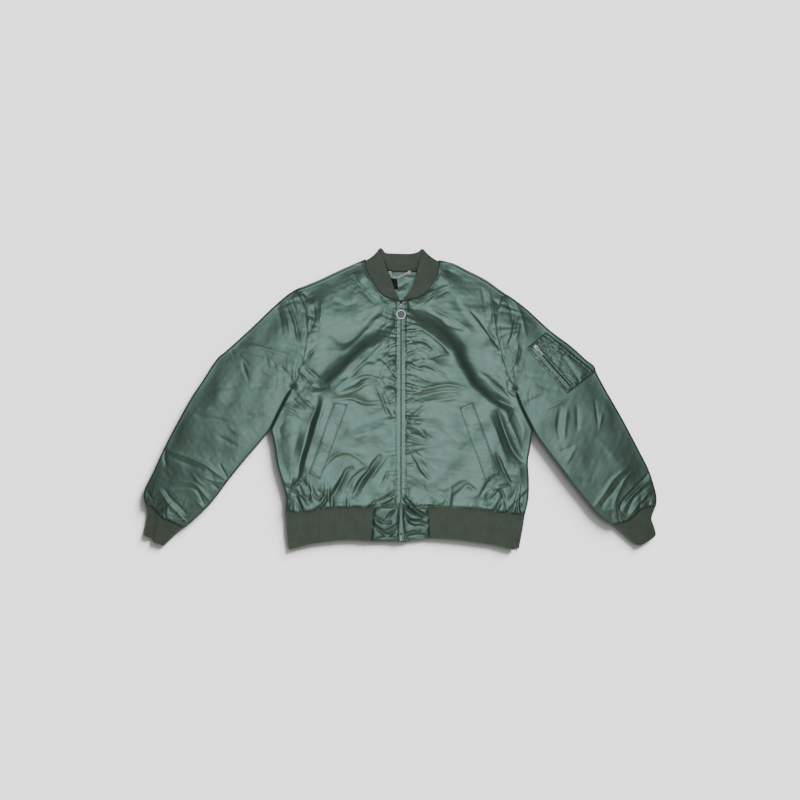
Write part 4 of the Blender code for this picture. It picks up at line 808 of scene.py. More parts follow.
class Surface:
    """Looks up the height of cloth from above, in millimetres."""

    def __init__(self, verts, faces):
        self.tree = BVHTree.FromPolygons(verts.tolist(), faces.tolist())

    def __call__(self, points, lift=0.0):
        found = []
        for x, y in points:
            hit, normal = self.tree.ray_cast(Vector((x, y, 200.0)), Vector((0, 0, -1)))[:2]
            if hit is None:
                found.append((x, y, np.nan))
                continue
            found.append(tuple(hit + normal * (lift if normal.z >= 0 else -lift)))
        found = np.array(found, float).reshape(-1, 3)
        bad = np.isnan(found[:, 2])
        if bad.any() and not bad.all():
            found[bad, 2] = np.interp(np.flatnonzero(bad), np.flatnonzero(~bad), found[~bad, 2])
        return found


def surface_of(grid):
    return Surface(flatten(grid), quads(numbers_of(grid)))


# Materials

def srgb(red, green, blue):
    return [c / 12.92 if c <= 0.04045 else ((c + 0.055) / 1.055) ** 2.4 for c in (red, green, blue)] + [1.0]


def shaded(share, colour):
    return [share * c for c in colour[:3]] + [1.0]


class Nodes:
    """Short calls for building the nodes of a material or a world."""

    def __init__(self, owner, shader="Principled BSDF"):
        owner.use_nodes = True
        self.owner, self.tree = owner, owner.node_tree
        self.shader = self.tree.nodes[shader]

    def fill(self, node, **values):
        """Sets inputs and settings by name, with _ for a space. A value that is another node's output is linked."""
        for key, value in values.items():
            name = key.replace("_", " ")
            if isinstance(value, bpy.types.NodeSocket):
                self.tree.links.new(value, node.inputs[name])
            elif name in node.inputs:
                node.inputs[name].default_value = value
            else:
                setattr(node, key, value)
        return node

    def set(self, **values):
        self.fill(self.shader, **values)

    def add(self, kind, output=0, **values):
        """The output of a new node of this kind."""
        return self.fill(self.tree.nodes.new("ShaderNode" + kind), **values).outputs[output]

    def mapping(self, source="UV", scale=(1, 1, 1)):
        return self.add("Mapping", Vector=self.add("TexCoord", source), Scale=scale)

    def noise(self, mapped, scale, detail=3.0, roughness=0.5):
        return self.add("TexNoise", "Fac", Vector=mapped, Scale=scale, Detail=detail, Roughness=roughness)

    def ramp(self, source, low, high, positions=(0.3, 0.7)):
        made = self.add("ValToRGB", Fac=source)
        for element, colour, position in zip(made.node.color_ramp.elements, (low, high), positions):
            element.color, element.position = colour, position
        return made

    def range(self, source, low, high, start=0.0, end=1.0):
        return self.add("MapRange", Value=source, From_Min=start, From_Max=end, To_Min=low, To_Max=high)

    def mix(self, factor, low, high, blend="MIX"):
        made = self.add("Mix", 2, data_type="RGBA", blend_type=blend, Factor=factor)
        for place, value in ((6, low), (7, high)):
            if isinstance(value, bpy.types.NodeSocket):
                self.tree.links.new(value, made.node.inputs[place])
            else:
                made.node.inputs[place].default_value = value
        return made

    def bump(self, source, strength, depth, before=None):
        values = {"Height": source, "Strength": strength, "Distance": depth}
        return self.add("Bump", **values, **({} if before is None else {"Normal": before}))


def satin_material(name, low, high, roughness=0.46):
    n = Nodes(bpy.data.materials.new(name))
    cloth = n.mapping()
    twill = n.add("TexWave", "Fac", bands_direction="DIAGONAL", Vector=cloth, Scale=760.0, Distortion=0.6,
                  Detail=1.0)
    fine = n.bump(twill, 0.12, 0.00007)
    fine = n.bump(n.noise(n.mapping("UV", (1.0, 0.12, 1.0)), 900.0, 2.0), 0.12, 0.00015, fine)
    gloss = n.noise(cloth, 60.0, 4.0, 0.6)
    n.set(Base_Color=n.ramp(n.noise(cloth, 14.0, 3.0, 0.55), low, high),
          Roughness=n.range(gloss, roughness - 0.05, roughness + 0.06),
          Normal=n.bump(n.noise(cloth, 45.0, 3.0, 0.55), 0.14, 0.0016, fine),
          Tangent=n.add("Tangent", direction_type="UV_MAP", uv_map="UVMap"), Anisotropic=0.3, Metallic=0.75,
          Sheen_Weight=0.04, Sheen_Roughness=0.4, Sheen_Tint=(0.75, 0.9, 0.85, 1.0), Specular_IOR_Level=0.5)
    return n.owner


def knit_material(name, low, high):
    """The UV map's first number runs across the ribs, from the crest of one."""
    n = Nodes(bpy.data.materials.new(name))
    cloth = n.mapping()
    ribs = n.add("TexWave", "Fac", Vector=cloth, Scale=math.pi / 10 / (RIB_PITCH * MM), Distortion=0.0)
    # Painted shade: the colour is darker in the grooves between the ribs.
    painted_shade = n.ramp(ribs, [1.0, 1.0, 1.0, 1.0], [0.74, 0.74, 0.74, 1.0], (0.35, 0.95))
    stitch = n.add("TexVoronoi", "Distance", Vector=n.mapping("UV", (1.0, 0.7, 1.0)), Scale=620.0)
    loops = n.bump(stitch, 0.6, 0.0006)
    n.set(Base_Color=n.mix(1.0, n.ramp(n.noise(cloth, 30.0, 4.0, 0.6), low, high), painted_shade, "MULTIPLY"),
          Normal=n.bump(n.noise(cloth, 1400.0, 3.0, 0.6), 0.35, 0.0003, loops), Roughness=0.88,
          Sheen_Weight=0.25, Sheen_Roughness=0.5, Sheen_Tint=(0.7, 0.78, 0.7, 1.0), Specular_IOR_Level=0.25)
    return n.owner


def tape_material(name, colour):
    n = Nodes(bpy.data.materials.new(name))
    cloth = n.mapping()
    weave = n.add("TexWave", "Fac", bands_direction="DIAGONAL", Vector=cloth, Scale=260.0)
    n.set(Base_Color=n.ramp(n.noise(cloth, 80.0), shaded(0.85, colour), colour),
          Normal=n.bump(weave, 0.5, 0.0003), Roughness=0.8)
    return n.owner


def metal_material(name, low, high, roughness=0.34, recess=None):
    """recess gives the heights in metres between which metal goes from dull and dark to clean."""
    n = Nodes(bpy.data.materials.new(name))
    where = n.mapping("Object")
    spots = n.noise(where, 420.0, 4.0, 0.6)
    colour = n.ramp(spots, low, high, (0.35, 0.65))
    if recess:
        level = n.range(n.add("SeparateXYZ", "Z", Vector=where), 0.0, 1.0, *recess)
        colour = n.mix(level, shaded(0.17, low), colour)
    scratches = n.noise(n.mapping("Object", (1, 0.15, 1)), 2500.0, 2.0)
    n.set(Base_Color=colour, Roughness=n.range(spots, roughness - 0.08, roughness + 0.12),
          Normal=n.bump(scratches, 0.15, 0.0001), Metallic=1.0)
    return n.owner


def thread_material(name, colour):
    n = Nodes(bpy.data.materials.new(name))
    twist = n.noise(n.mapping("Object"), 1500.0, 2.0)
    n.set(Base_Color=n.ramp(twist, shaded(0.75, colour), colour, (0.35, 0.65)),
          Normal=n.bump(twist, 0.4, 0.0002), Roughness=0.5, Sheen_Weight=0.2)
    return n.owner


SATIN_LOW, SATIN_HIGH = [0.106, 0.182, 0.158, 1.0], [0.117, 0.199, 0.172, 1.0]
satin = satin_material("satin", SATIN_LOW, SATIN_HIGH, 0.43)
# Painted shade: the sleeves and the hem squares use darker copies of the satin in place of the shade that falls on
# them.
SLEEVE_PAINTED_SHADE, HEM_PAINTED_SHADE = 0.92, 0.80
sleeve_satin_painted_shade, hem_satin_painted_shade = (satin_material(name, shaded(share, SATIN_LOW), shaded(share, SATIN_HIGH), 0.43)
                           for name, share in (("sleeve_satin_painted_shade", SLEEVE_PAINTED_SHADE), ("hem_satin_painted_shade", HEM_PAINTED_SHADE)))
lining_satin = satin_material("lining_satin", [0.112, 0.197, 0.171, 1.0], [0.128, 0.221, 0.193, 1.0])
knit = knit_material("rib_knit", [0.088, 0.119, 0.099, 1.0], [0.108, 0.146, 0.121, 1.0])
tape = tape_material("zip_tape", srgb(0.25, 0.32, 0.29))
label_cloth = tape_material("label_cloth", srgb(0.07, 0.08, 0.09))
metal = metal_material("brushed_metal", [0.15, 0.165, 0.165, 1.0], [0.27, 0.285, 0.285, 1.0])
pull_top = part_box("zip_pull")[1].z
pull_metal = metal_material("worn_metal", [0.40, 0.43, 0.45, 1.0], [0.60, 0.63, 0.65, 1.0], 0.36,
                            (pull_top - 0.00036, pull_top - 0.00012))
chain_metal = metal_material("chain_metal", [0.80, 0.82, 0.82, 1.0], [0.93, 0.94, 0.94, 1.0], 0.46)
dark_metal = metal_material("zip_teeth", srgb(0.36, 0.40, 0.39), srgb(0.52, 0.55, 0.54), 0.38)
slider_metal = metal_material("slider_metal", [0.34, 0.37, 0.38, 1.0], [0.50, 0.53, 0.54, 1.0], 0.36)
shaded_metal = metal_material("pocket_teeth", srgb(0.14, 0.19, 0.19), srgb(0.24, 0.29, 0.29), 0.5)
thread = thread_material("sewing_thread", srgb(0.30, 0.40, 0.37))
# Painted shadow: a dark colour for the cords where the pockets' mouths and edges are in shade.
shadow_cord_thread = thread_material("pocket_shadow_cord", srgb(0.10, 0.17, 0.17))


# The body and the sleeves

class Body:
    def __init__(self, side):
        self.side, self.seed, self.sign = side, SEEDS[side], SIGNS[side]
        self.neck, self.armhole, self.shoulder, self.cuff_seam = (
            smooth_line(table[side]) for table in (NECK, ARMHOLE, SHOULDER, CUFF_SEAM))
        self.zip_line = np.array([NECK[side][-1], HEM_AT_BLOCK[side][0]], float)
        self.hem = edge(HEM_AT_BLOCK[side], HEM_AT_RIB[side])
        self.outside = edge(CREASE[side], SIDE[side])
        self.patch = Patch(self.shoulder, self.hem, np.vstack([self.neck, self.zip_line]),
                           np.vstack([self.armhole, self.outside]))
        self.sleeve_outer, self.sleeve_inner = smooth_line(SLEEVE_OUTER[side]), edge(CREASE[side], SLEEVE_INNER[side])
        self.sleeve = Patch(self.armhole, self.cuff_seam, self.sleeve_outer, self.sleeve_inner)


BODIES = {side: Body(side) for side in SIGNS}


def close_zip(plan, sign):
    """Moves the edges beside the zip together, so that they cover its teeth below the slider."""
    off = (plan[..., 0] - ZIP_X) * sign
    shut = ZIP_COVER * np.clip(1 - off / 20, 0, 1) * ease((204 - plan[..., 1]) / 14)
    plan = plan.copy()
    plan[..., 0] -= sign * shut
    return plan


def padded(rim, top):
    """The height of a padded panel at this distance from its rolled edges."""
    return top - EDGE_DROP * (1 - ease(rim / 60)) - roll(rim, TOP_ROLL, top - EDGE_DROP - SEAM_LEVEL)


def seam_height(points, line):
    """The height of the cloth along the armhole seam, which the front and the sleeve share."""
    ends = np.minimum(*(np.hypot(*(points - end).T) for end in (line[0], line[-1])))
    return ARMHOLE_TOP - roll(ends, 22.0, ARMHOLE_TOP - SEAM_LEVEL)


def placed_creases(points, side, rim):
    return ease(rim / 10) * (CREASE_SHARE * creases(points, BODY_CREASES[side])
                             + SLEEVE_CREASE_SHARE * creases(points, SLEEVE_CREASES[side], SLEEVE_CREASE_WIDTH))


def front_points(body):
    columns, rows = FRONT_GRID
    plan = close_zip(body.patch.grid(crowd_ends(columns, 0.45), crowd_ends(rows, 0.3)), body.sign)
    points, seed, left = flatten(plan), body.seed, body.side == "left"
    rim = distance(points, body.shoulder, body.outside)
    shoulder, arm, neck, hem = (distance(points, line) for line in (body.shoulder, body.armhole, body.neck, body.hem))
    off_centre = (points[:, 0] - ZIP_X) * body.sign
    beside_zip = np.where(points[:, 1] < ZIP_TOP, off_centre, neck + 9)
    loft = ease(rim / 24)

    # The padding
    height = padded(rim, FRONT_TOP)
    height += loft * 1.5 * ripple(points, 105.0, seed) * ease(beside_zip / 40)
    height += loft * ease(rim / 60) * 1.0 * ease(beside_zip / 30) * ripple(points * (0.7, 1.0), 62.0, seed + 3)
    seam = seam_height(points, body.armhole)
    height = seam + (height - seam) * ease(arm / 26)

    # What is added after the cloth has buckled
    placed = loft * ease(beside_zip / 16) * fold(points, BODY_FOLDS[body.side])
    placed += placed_creases(points, body.side, rim) + loft * 0.13 * ripple(points * (0.6, 1.2), 21.0, seed + 90)
    placed -= SHOULDER_DROP * ease(rim / 8) * (1 - ease((shoulder - 4) / 100)) * ease((neck - 4) / 40)
    placed += ease(beside_zip / 6) * creases(points, BLOCK_CREASES[body.side])

    # Seams and rows of stitches
    hem_share = np.where(beside_zip < 64, 0.35, 1)
    height -= np.maximum.reduce([0.3 * bell(arm, 1.2, 1.6), 4.0 * bell(neck, 2.2, 1.6),
                                 4.4 * bell(hem, 3.4, 1.6) * hem_share])
    height -= 0.7 * bell(beside_zip, 1.1) + STITCH_SINK * bell(beside_zip - ZIP_STITCH, 1.2)
    height -= bell(neck - 8.0, 1.7) * (0.5 + 0.5 * ripple(points, 40.0, seed + 8))

    # Gathers
    stitch_x = ZIP_X + body.sign * ZIP_STITCH
    stitch_line = np.array([[stitch_x, 212.0], [stitch_x, HEM_AT_BLOCK[body.side][0][1] + 4]])
    pucker, lowest, side_start = (1.9, -150.0, 175) if left else (1.2, -60.0, 108)
    crushed_here = ease((points[:, 1] - lowest) / 60)
    pucker *= 0.3 + 0.7 * crushed_here
    outside_band = ease((beside_zip - 9.0) / 4.0)
    height += loft * (0.12 + 0.88 * outside_band) * pucker * gathers(points, stitch_line, 12.0, 1, 19.0, seed + 40)
    height += loft * gathers(points, stitch_line, 7.0, 0.5, 4.0, seed + 41, 0.1)
    full = 0.22 + 0.78 * ease((np.abs(points[:, 0] - ZIP_X) - side_start) / 30)
    height += ease(rim / 14) * full * gathers(points, body.hem, 38.0, 4.5, 22.0, seed + 42, 1.2)
    height += ease(rim / 10) * gathers(points, body.hem, 9.0, 1.2, 6.0, seed + 43, 0.2)
    height += ease(rim / 16) * ease(arm / 8) * gathers(points, body.armhole, 34.0, 0.8, 24.0, seed + 44)
    crushed = bell(beside_zip - 30, 34.0) * ease((beside_zip - 9) / 8) * ease((neck - 20) / 50)
    crushed *= 0.1 + 0.9 * crushed_here
    crushed += 0.15 * bell(arm, 30.0) * ease((160 - points[:, 1]) / 100) * ease(arm / 8)
    crushed += 0.6 * bell(hem, 26.0) * full
    height += 0.6 * crushed * ease(rim / 20) * crumple(points * (0.5, 1.1), 34.0, seed + 70)
    height = np.maximum(height, np.minimum(SEAM_LEVEL, 6.8 + 0.7 * np.exp(-rim / 8)))

    # Buckling
    near_zip = bell(beside_zip - 16, 38.0) * ease((neck - 6) / 30)
    near_zip *= 0.2 + 0.8 * crushed_here
    near_hem, near_arm, near_neck = bell(hem, 40.0) * full, bell(arm, 30.0), bell(neck, 26.0)
    excess_u = 0.007 + 0.03 * near_hem + 0.01 * near_arm + 0.02 * near_neck
    excess_v = 0.007 + 0.028 * near_zip + 0.01 * near_arm + 0.01 * near_hem
    follow = 0.004 + 0.06 * (1 - ease(np.minimum(beside_zip - 9.0, rim / 4) / 5.0))
    made = relax(raised(plan, height), (excess_u, excess_v), follow, MOST_BUCKLE, seed, CRISPNESS)
    shape = made.shape[:2]
    high = made[..., 2] + placed.reshape(shape) - 7.0
    made[..., 2] = 7.0 + np.log1p(np.exp(high / 1.6)) * 1.6
    droop = ripple(points, 62.0, seed + 50)
    over = OVERHANG * bell(hem, 11.0) * ease(rim / 25) * ease((beside_zip - 68) / 20)
    over *= 0.45 + 0.75 * np.clip(droop + 0.2, 0, 1)
    made[..., 1] -= over.reshape(shape)
    return made


def sleeve_points(body):
    over_count, under_count, rows = SLEEVE_GRID
    upper = (1 - np.cos(np.linspace(0, math.pi, over_count))) / 2
    upper = 0.55 * upper + 0.45 * np.linspace(0, 1, over_count)
    lower = (1 - np.cos(np.linspace(math.pi, 0, under_count))) / 2
    vs, seed = crowd_ends(rows, 0.25), body.seed

    plan = body.sleeve.grid(upper, vs)
    points = flatten(plan)
    inner, arm, cuff = (distance(points, line) for line in (body.sleeve_inner, body.armhole, body.cuff_seam))
    rim = np.minimum(inner, distance(points, body.sleeve_outer))
    loft = ease(rim / 24)
    height = padded(rim, SLEEVE_TOP) + loft * ripple(points, 95.0, seed + 4)
    height += loft * ease(rim / 50) * 0.25 * ripple(points, 60.0, seed + 6)
    seam = seam_height(points, body.armhole)
    height = seam + (height - seam) * ease(arm / 30)
    placed = placed_creases(points, body.side, rim) + loft * 0.13 * ripple(points, 23.0, seed + 91)
    height -= np.maximum(0.3 * bell(arm, 1.2, 1.6), 4.5 * bell(cuff, 2.8, 1.6)) * ease(rim / 10)
    height += loft * ease(arm / 8) * gathers(points, body.armhole, 38.0, 1.2, 40.0, seed + 60)
    puff = 1.0 if body.side == "right" else 1.8
    height += ease(rim / 12) * gathers(points, body.cuff_seam, 24.0, puff, 24.0, seed + 61, 0.8)
    height += ease(rim / 12) * gathers(points, body.cuff_seam, 4.6, 0.7, 3.5, seed + 62, 0.1)
    crushed = 0.15 * bell(arm, 60.0) + 0.3 * bell(cuff, 60.0) + 0.1
    height += 0.8 * loft * ease(arm / 8) * crushed * crumple(points, 42.0, seed + 72)
    height = np.maximum(height, np.minimum(SEAM_LEVEL + rim, 11.0))
    near_arm = bell(arm, 45.0)
    excess_u = 0.002 + 0.016 * bell(cuff, 50.0) + 0.006 * near_arm
    excess_v = 0.002 + 0.008 * near_arm + 0.012 * bell(inner, 35.0)
    follow = 0.004 + 0.06 * (1 - ease(rim / 20.0))
    over = relax(raised(plan, height), (excess_u, excess_v), follow, MOST_BUCKLE, seed + 2, CRISPNESS)
    over[..., 2] += placed.reshape(over.shape[:2])

    plan = body.sleeve.grid(lower, vs)
    points = flatten(plan)
    rim, cuff = distance(points, body.sleeve_outer, body.sleeve_inner), distance(points, body.cuff_seam)
    height = roll(rim, UNDER_ROLL, SEAM_LEVEL)
    height += 0.9 * ease((rim - 10) / 20) * (1 + ripple(points, 70.0, seed + 9)) / 2
    height = np.where(cuff < 30, height + (1 - cuff / 30) * 1.5 * ease(rim / 10), height)
    return over, raised(plan, height)


def grain(points, start, end):
    """Plan points turned so that the first number runs across the piece and the second along it."""
    ahead = unit(np.array(end, float) - start)
    return np.stack([points[:, :2] @ left_of(ahead), points[:, :2] @ ahead], axis=1)


def make_front(body):
    points = front_points(body)
    turned = flatten(points)[rim_of(points)]
    area = np.cross(turned[:, :2], np.roll(turned[:, :2], -1, 0)).sum()
    inward = unit(left_of(np.roll(turned, -1, 0) - np.roll(turned, 1, 0))) * np.sign(area)
    turned[:, :2] += inward * TURNED_IN
    turned[:, 2] = np.maximum(turned[:, 2] - TURNED_DOWN, CLEARANCE)
    verts, faces = edged(points, turned)
    make_object(f"front_cloth_{body.side}", verts, faces, satin, verts[:, :2], f"front_{body.side}", "satin",
                rim=rim_of(points))
    surfaces[f"front_{body.side}"] = Surface(verts, faces)


def make_sleeve(body):
    over, under = sleeve_points(body)
    ring = np.concatenate([over, under[:, 1:-1]], axis=1)
    flat, index = flatten(ring), numbers_of(ring)
    faces = quads(index, closed=True)
    for k, inside in ((0, 1), (-1, -2)):
        inward = ring[inside] - ring[k]
        inward[:, 2] = 0
        turned = ring[k] + unit(inward) * SLEEVE_TURNED_IN
        turned[:, 2] = SEAM_LEVEL + (ring[k][:, 2] - SEAM_LEVEL) * 0.35
        faces = np.vstack([faces, quads([index[k], len(flat) + np.arange(len(turned))], closed=True)])
        flat = np.vstack([flat, turned])
    flat[:, 2] = np.maximum(flat[:, 2], 0.0)
    start, end = ((line[0] + line[-1]) / 2 for line in (body.armhole, body.cuff_seam))
    make_object(f"sleeve_cloth_{body.side}", flat, faces, sleeve_satin_painted_shade, grain(flat, start, end),
                f"sleeve_{body.side}", "satin", rim=index[[0, -1]].ravel())
    surfaces[f"sleeve_{body.side}"] = surface_of(over)


def make_back():
    top = edge(SHOULDER["right"][::-1], BACK_NECK, SHOULDER["left"])
    patch = Patch(top, smooth_line(BACK_HEM), BODIES["right"].patch.end, BODIES["left"].patch.end)
    columns, rows = BACK_GRID
    plan = patch.grid(crowd_ends(columns, 0.8), crowd_ends(rows, 0.6))
    points = flatten(plan)
    rim = distance(points, *(line for body in BODIES.values() for line in (body.shoulder, body.outside)))
    arms = distance(points, *(body.armhole for body in BODIES.values()))
    hem = distance(points, patch.bottom)
    inside = ease((rim - 8) / 20)
    height = roll(rim, UNDER_ROLL, SEAM_LEVEL)
    height += inside * 1.6 * np.clip(ripple(points, 110.0, 5) - 0.1, 0, 1) * ease(hem / 40)
    height += inside * 1.4 * bell(hem, 16.0) * (0.5 + 0.5 * np.sin(points[:, 0] / 3.4)) ** 2
    height += 1.5 * bell(arms, 5.0) * ease(rim / 10)
    outside = raised(plan, height)
    turned = flatten(outside)[rim_of(outside)]
    turned[:, :2] += unit(points.mean(0) - turned[:, :2]) * BACK_TURNED_IN
    turned[:, 2] = BACK_INSIDE
    verts, faces = edged(outside, turned)
    make_object("back_cloth", verts, faces, satin, verts[:, :2], "back", "satin")


# Rib knit

def rib_profile(count, ribs):
    """Height of rounded ribs at this many points across them, from 0 to 1."""
    return np.abs(np.cos(math.pi * np.linspace(0, ribs * RIB_PITCH, count) / RIB_PITCH)) ** 0.7


def ribs_across(line):
    """How many ribs fit along the line, and how many points those take."""
    ribs = int(round(length_of(line) / RIB_PITCH))
    return ribs, ribs * 5 + 1


def ribbed_wall(name, node, patch, rows, levels):
    """A waistband piece: ribs run from its top to its bottom. levels gives its two faces' heights at points."""
    ribs, count = ribs_across(patch.top)
    us = np.linspace(0, 1, count)
    vs = 1 - (1 - np.linspace(0, 1, rows)) ** 1.7
    inset_u = 0.2 / length_of(patch.top)
    plan = patch.grid(inset_u + us * (1 - 2 * inset_u), vs)
    down = length_of(patch.start)
    end = ease((1 - vs) * down / 2.2)[:, None]
    high, low = (level.reshape(plan.shape[:2]) for level in levels(flatten(plan)))
    middle = (high + low) / 2
    half = (high - low) / 2 * (0.35 + 0.65 * np.sqrt(end))
    groove = RIB_HEIGHT * (1 - rib_profile(count, ribs)) * end
    verts, faces = closed_sheet(raised(plan, middle + half - groove), raised(plan, middle - half + groove * 0.6))
    uv = np.stack([np.tile(us * ribs * RIB_PITCH, rows), np.repeat(vs * down, count)], axis=1)
    make_object(name, verts, faces, knit, np.vstack([uv, uv]), node, "knit")


def make_waistband():
    def sloped(rim, level):
        return level + (RIB_LEVEL - level) * (1 - ease(rim / KNIT_ROLL))

    for side in SIGNS:
        def front_levels(points, body=BODIES[side], outer=smooth_line(RIB_SIDE[side])):
            rim = distance(points, outer)
            top = RIB_FRONT_TOP - roll(rim, KNIT_ROLL, RIB_FRONT_TOP - RIB_LEVEL - 1.2)
            top += 0.8 * bell(distance(points, body.hem) - 30, 26.0)
            return top + 0.5 * ripple(points, 85.0, body.seed + 31), sloped(rim, RIB_FRONT_INSIDE)

        patch = Patch(*(smooth_line(table[side]) for table in (HEM_AT_RIB, RIB_BOTTOM, RIB_INNER, RIB_SIDE)))
        ribbed_wall(f"waistband_{side}", f"rib_front_{side}", patch, 26, front_levels)
    ends = [smooth_line(BACK_RIB_SIDE[side]) for side in SIGNS]

    def back_levels(points):
        rim = distance(points, *ends)
        return sloped(rim, RIB_BACK_TOP), roll(rim, KNIT_ROLL, RIB_LEVEL - RIB_BACK_TOP)

    patch = Patch(smooth_line(BACK_HEM), smooth_line(BACK_RIB_BOTTOM), *ends)
    ribbed_wall("waistband_back", "rib_back", patch, 12, back_levels)


def make_cuff(side):
    patch = Patch(*(smooth_line(table[side]) for table in (CUFF_SEAM, CUFF_END, CUFF_OUTER, CUFF_INNER)))
    ribs, count = ribs_across(patch.top)
    us = np.linspace(0, 1, count)
    us = 0.75 * us + 0.25 * (1 - np.cos(us * math.pi)) / 2
    vs = np.linspace(0.0, 1, 22)
    groove = RIB_HEIGHT * (1 - rib_profile(count, ribs))
    rings = []
    for shrink in (0.0, CUFF_WALL / length_of(patch.top)):
        plan = patch.grid(shrink + us * (1 - 2 * shrink), vs)
        points, shape = flatten(plan), plan.shape[:2]
        rim = distance(points, patch.start, patch.end).reshape(shape)
        if shrink:
            top = CUFF_LEVEL + ease(rim / 10) * (CUFF_TOP - CUFF_WALL - CUFF_LEVEL)
            low = CUFF_LEVEL - ease(rim / 10) * (CUFF_LEVEL - CUFF_WALL)
        else:
            top = CUFF_TOP - roll(rim, KNIT_ROLL, CUFF_TOP - CUFF_LEVEL) - groove
            top = top + 1.4 * bell(vs - 0.45, 0.35)[:, None] * ease(rim / 14)
            if side == "right":
                off = distance(points, smooth_line(plan_of(CUFF_FOLD))).reshape(shape)
                top = top - 6.0 * bell(off, 3.0, 1.5) * ease(rim / 6)
            low = roll(rim, KNIT_ROLL, CUFF_LEVEL) + 0.4 * groove * ease(rim / 6)
        rings.append(np.concatenate([raised(plan, top), raised(plan, low)[:, -2:0:-1]], axis=1))
    index = numbers_of(rings[0])
    walls = quads(index, closed=True)
    faces = [walls, walls[:, ::-1] + index.size]
    faces += [quads([index[k], index[k] + index.size], closed=True) for k in (0, -1)]
    reach = np.linspace(0, ribs * RIB_PITCH, count)
    reach = np.concatenate([reach, reach[-2:0:-1]])
    uv = np.stack([np.tile(reach, len(vs)), np.repeat(vs * length_of(patch.start), len(reach))], axis=1)
    make_object(f"cuff_knit_{side}", np.vstack([flatten(ring) for ring in rings]), np.vstack(faces), knit,
                np.vstack([uv, uv]), f"cuff_{side}", "knit")


def make_collar():
    stations = smooth_line(COLLAR, 6)
    seam = edge(NECK["right"][::-1], BACK_NECK, NECK["left"])
    start, run = seam[:-1], np.diff(seam, axis=0)
    for station in stations:
        point = station[:2]
        t = np.clip(((point - start) * run).sum(1) / (run**2).sum(1), 0, 1)
        places = start + t[:, None] * run
        seat = places[np.linalg.norm(point - places, axis=1).argmin()]
        station[:2] = seat + unit(point - seat) * COLLAR_SEAT
    ribs, count = ribs_across(stations[:, :3])
    fine = along(stations, np.linspace(0, 1, count))
    base, free = fine[:, :3], fine[:, 3:]
    lean = free - base
    out = unit(np.cross(np.gradient(base + free, axis=0), lean))
    width = np.linalg.norm(lean, axis=1)
    groove = RIB_HEIGHT * 0.8 * (1 - rib_profile(count, ribs))
    shares = np.concatenate([[-0.12], 1 - (1 - np.linspace(0, 1, 12)) ** 1.5])
    loop = []
    for face in (1, -1):
        for share in shares[::face]:
            bow = 0.06 * width * 4 * share * (1 - share)
            edge_round = math.sqrt(max(1 - max(0.0, (share - 0.86) / 0.14) ** 2, 0.12))
            half = COLLAR_WALL / 2 * edge_round - groove * min(1.0, (1 - share) * 12)
            loop.append(base + share * lean + out * (bow + face * half)[:, None])
    rings, size = np.stack(loop, axis=1), len(loop)
    rings[..., 2] = np.maximum(rings[..., 2], CLEARANCE)
    index = numbers_of(rings)
    faces = quads(index, closed=True).tolist()
    for row in (index[0], index[-1]):
        faces += [[row[n], row[n + 1], row[size - 2 - n], row[size - 1 - n]] for n in range(size // 2 - 1)]
    share_of = np.concatenate([shares, shares[::-1]])
    uv = np.stack([np.repeat(np.linspace(0, ribs * RIB_PITCH, count), size), np.tile(share_of * 40, count)], axis=1)
    make_object("collar_knit", flatten(rings), faces, knit, uv, "collar", "knit")


# Small cloth pieces laid on the shell

def laid_strip(node, corners, under, thickness, columns, rows, material, slot="satin", pillow=0.0, lift=0.3,
               puckers=None, name=None):
    """A strip on four corners that follows the cloth under it, with edges that roll down."""
    patch = quad_patch(corners)
    plan = patch.grid(crowd_ends(columns, 0.7), crowd_ends(rows, 0.5))
    points = flatten(plan)
    off = distance(points, *patch.lines)
    level = surfaces[under](points)[:, 2] + lift
    top = level + thickness * np.sqrt(np.clip(off / 1.6, 0.02, 1)) + pillow * ease(off / 14)
    if puckers is not None:
        top = top + puckers(points, off)
    high = raised(plan, top)
    verts, faces = closed_sheet(high, raised(plan, level - 0.2))
    make_object(name or f"{node}_cloth", verts, faces, material, grain(verts, patch.start[0], patch.start[1]), node,
                slot)
    surfaces[node] = surface_of(high)


def welt_puckers(points, off):
    """Short slanting wrinkles on the welt, and a groove along its stitches."""
    slant = points @ np.array([[0.9, 0.5], [-0.5, 0.9]])
    return 0.6 * crumple(slant * (0.35, 1.0), 19.0, 91) * ease(off / 5) - 0.45 * bell(off - 2.6, 0.9)


def pocket_puckers(points, off):
    """Gathers between the pocket's two rows of stitches, and loose cloth inside them."""
    rows = gathers(points, inset_quad(SLEEVE_POCKET, 4.0), 9.5, 2.0, 5.0, 81, 0.3)
    beside = np.abs(distance(points, np.array(POCKET_ZIP, float)) - 3.4)
    loose = 0.9 * crumple(points * (0.8, 1.0), 26.0, 77) * ease((off - 6) / 6)
    return rows + 0.9 * bell(beside, 1.5) + loose - 0.5 * bell(off - 7.5, 1.0) - 0.4 * bell(off - 1.8, 0.8)


def inset_quad(corners, off):
    """A closed path through the four corners, moved in by this much."""
    c = np.asarray(corners, float)
    before, after = unit(np.roll(c, 1, 0) - c), unit(np.roll(c, -1, 0) - c)
    moved = c + (before + after) * off / np.abs(np.cross(before, after))[:, None]
    return np.vstack([moved, moved[:1]])


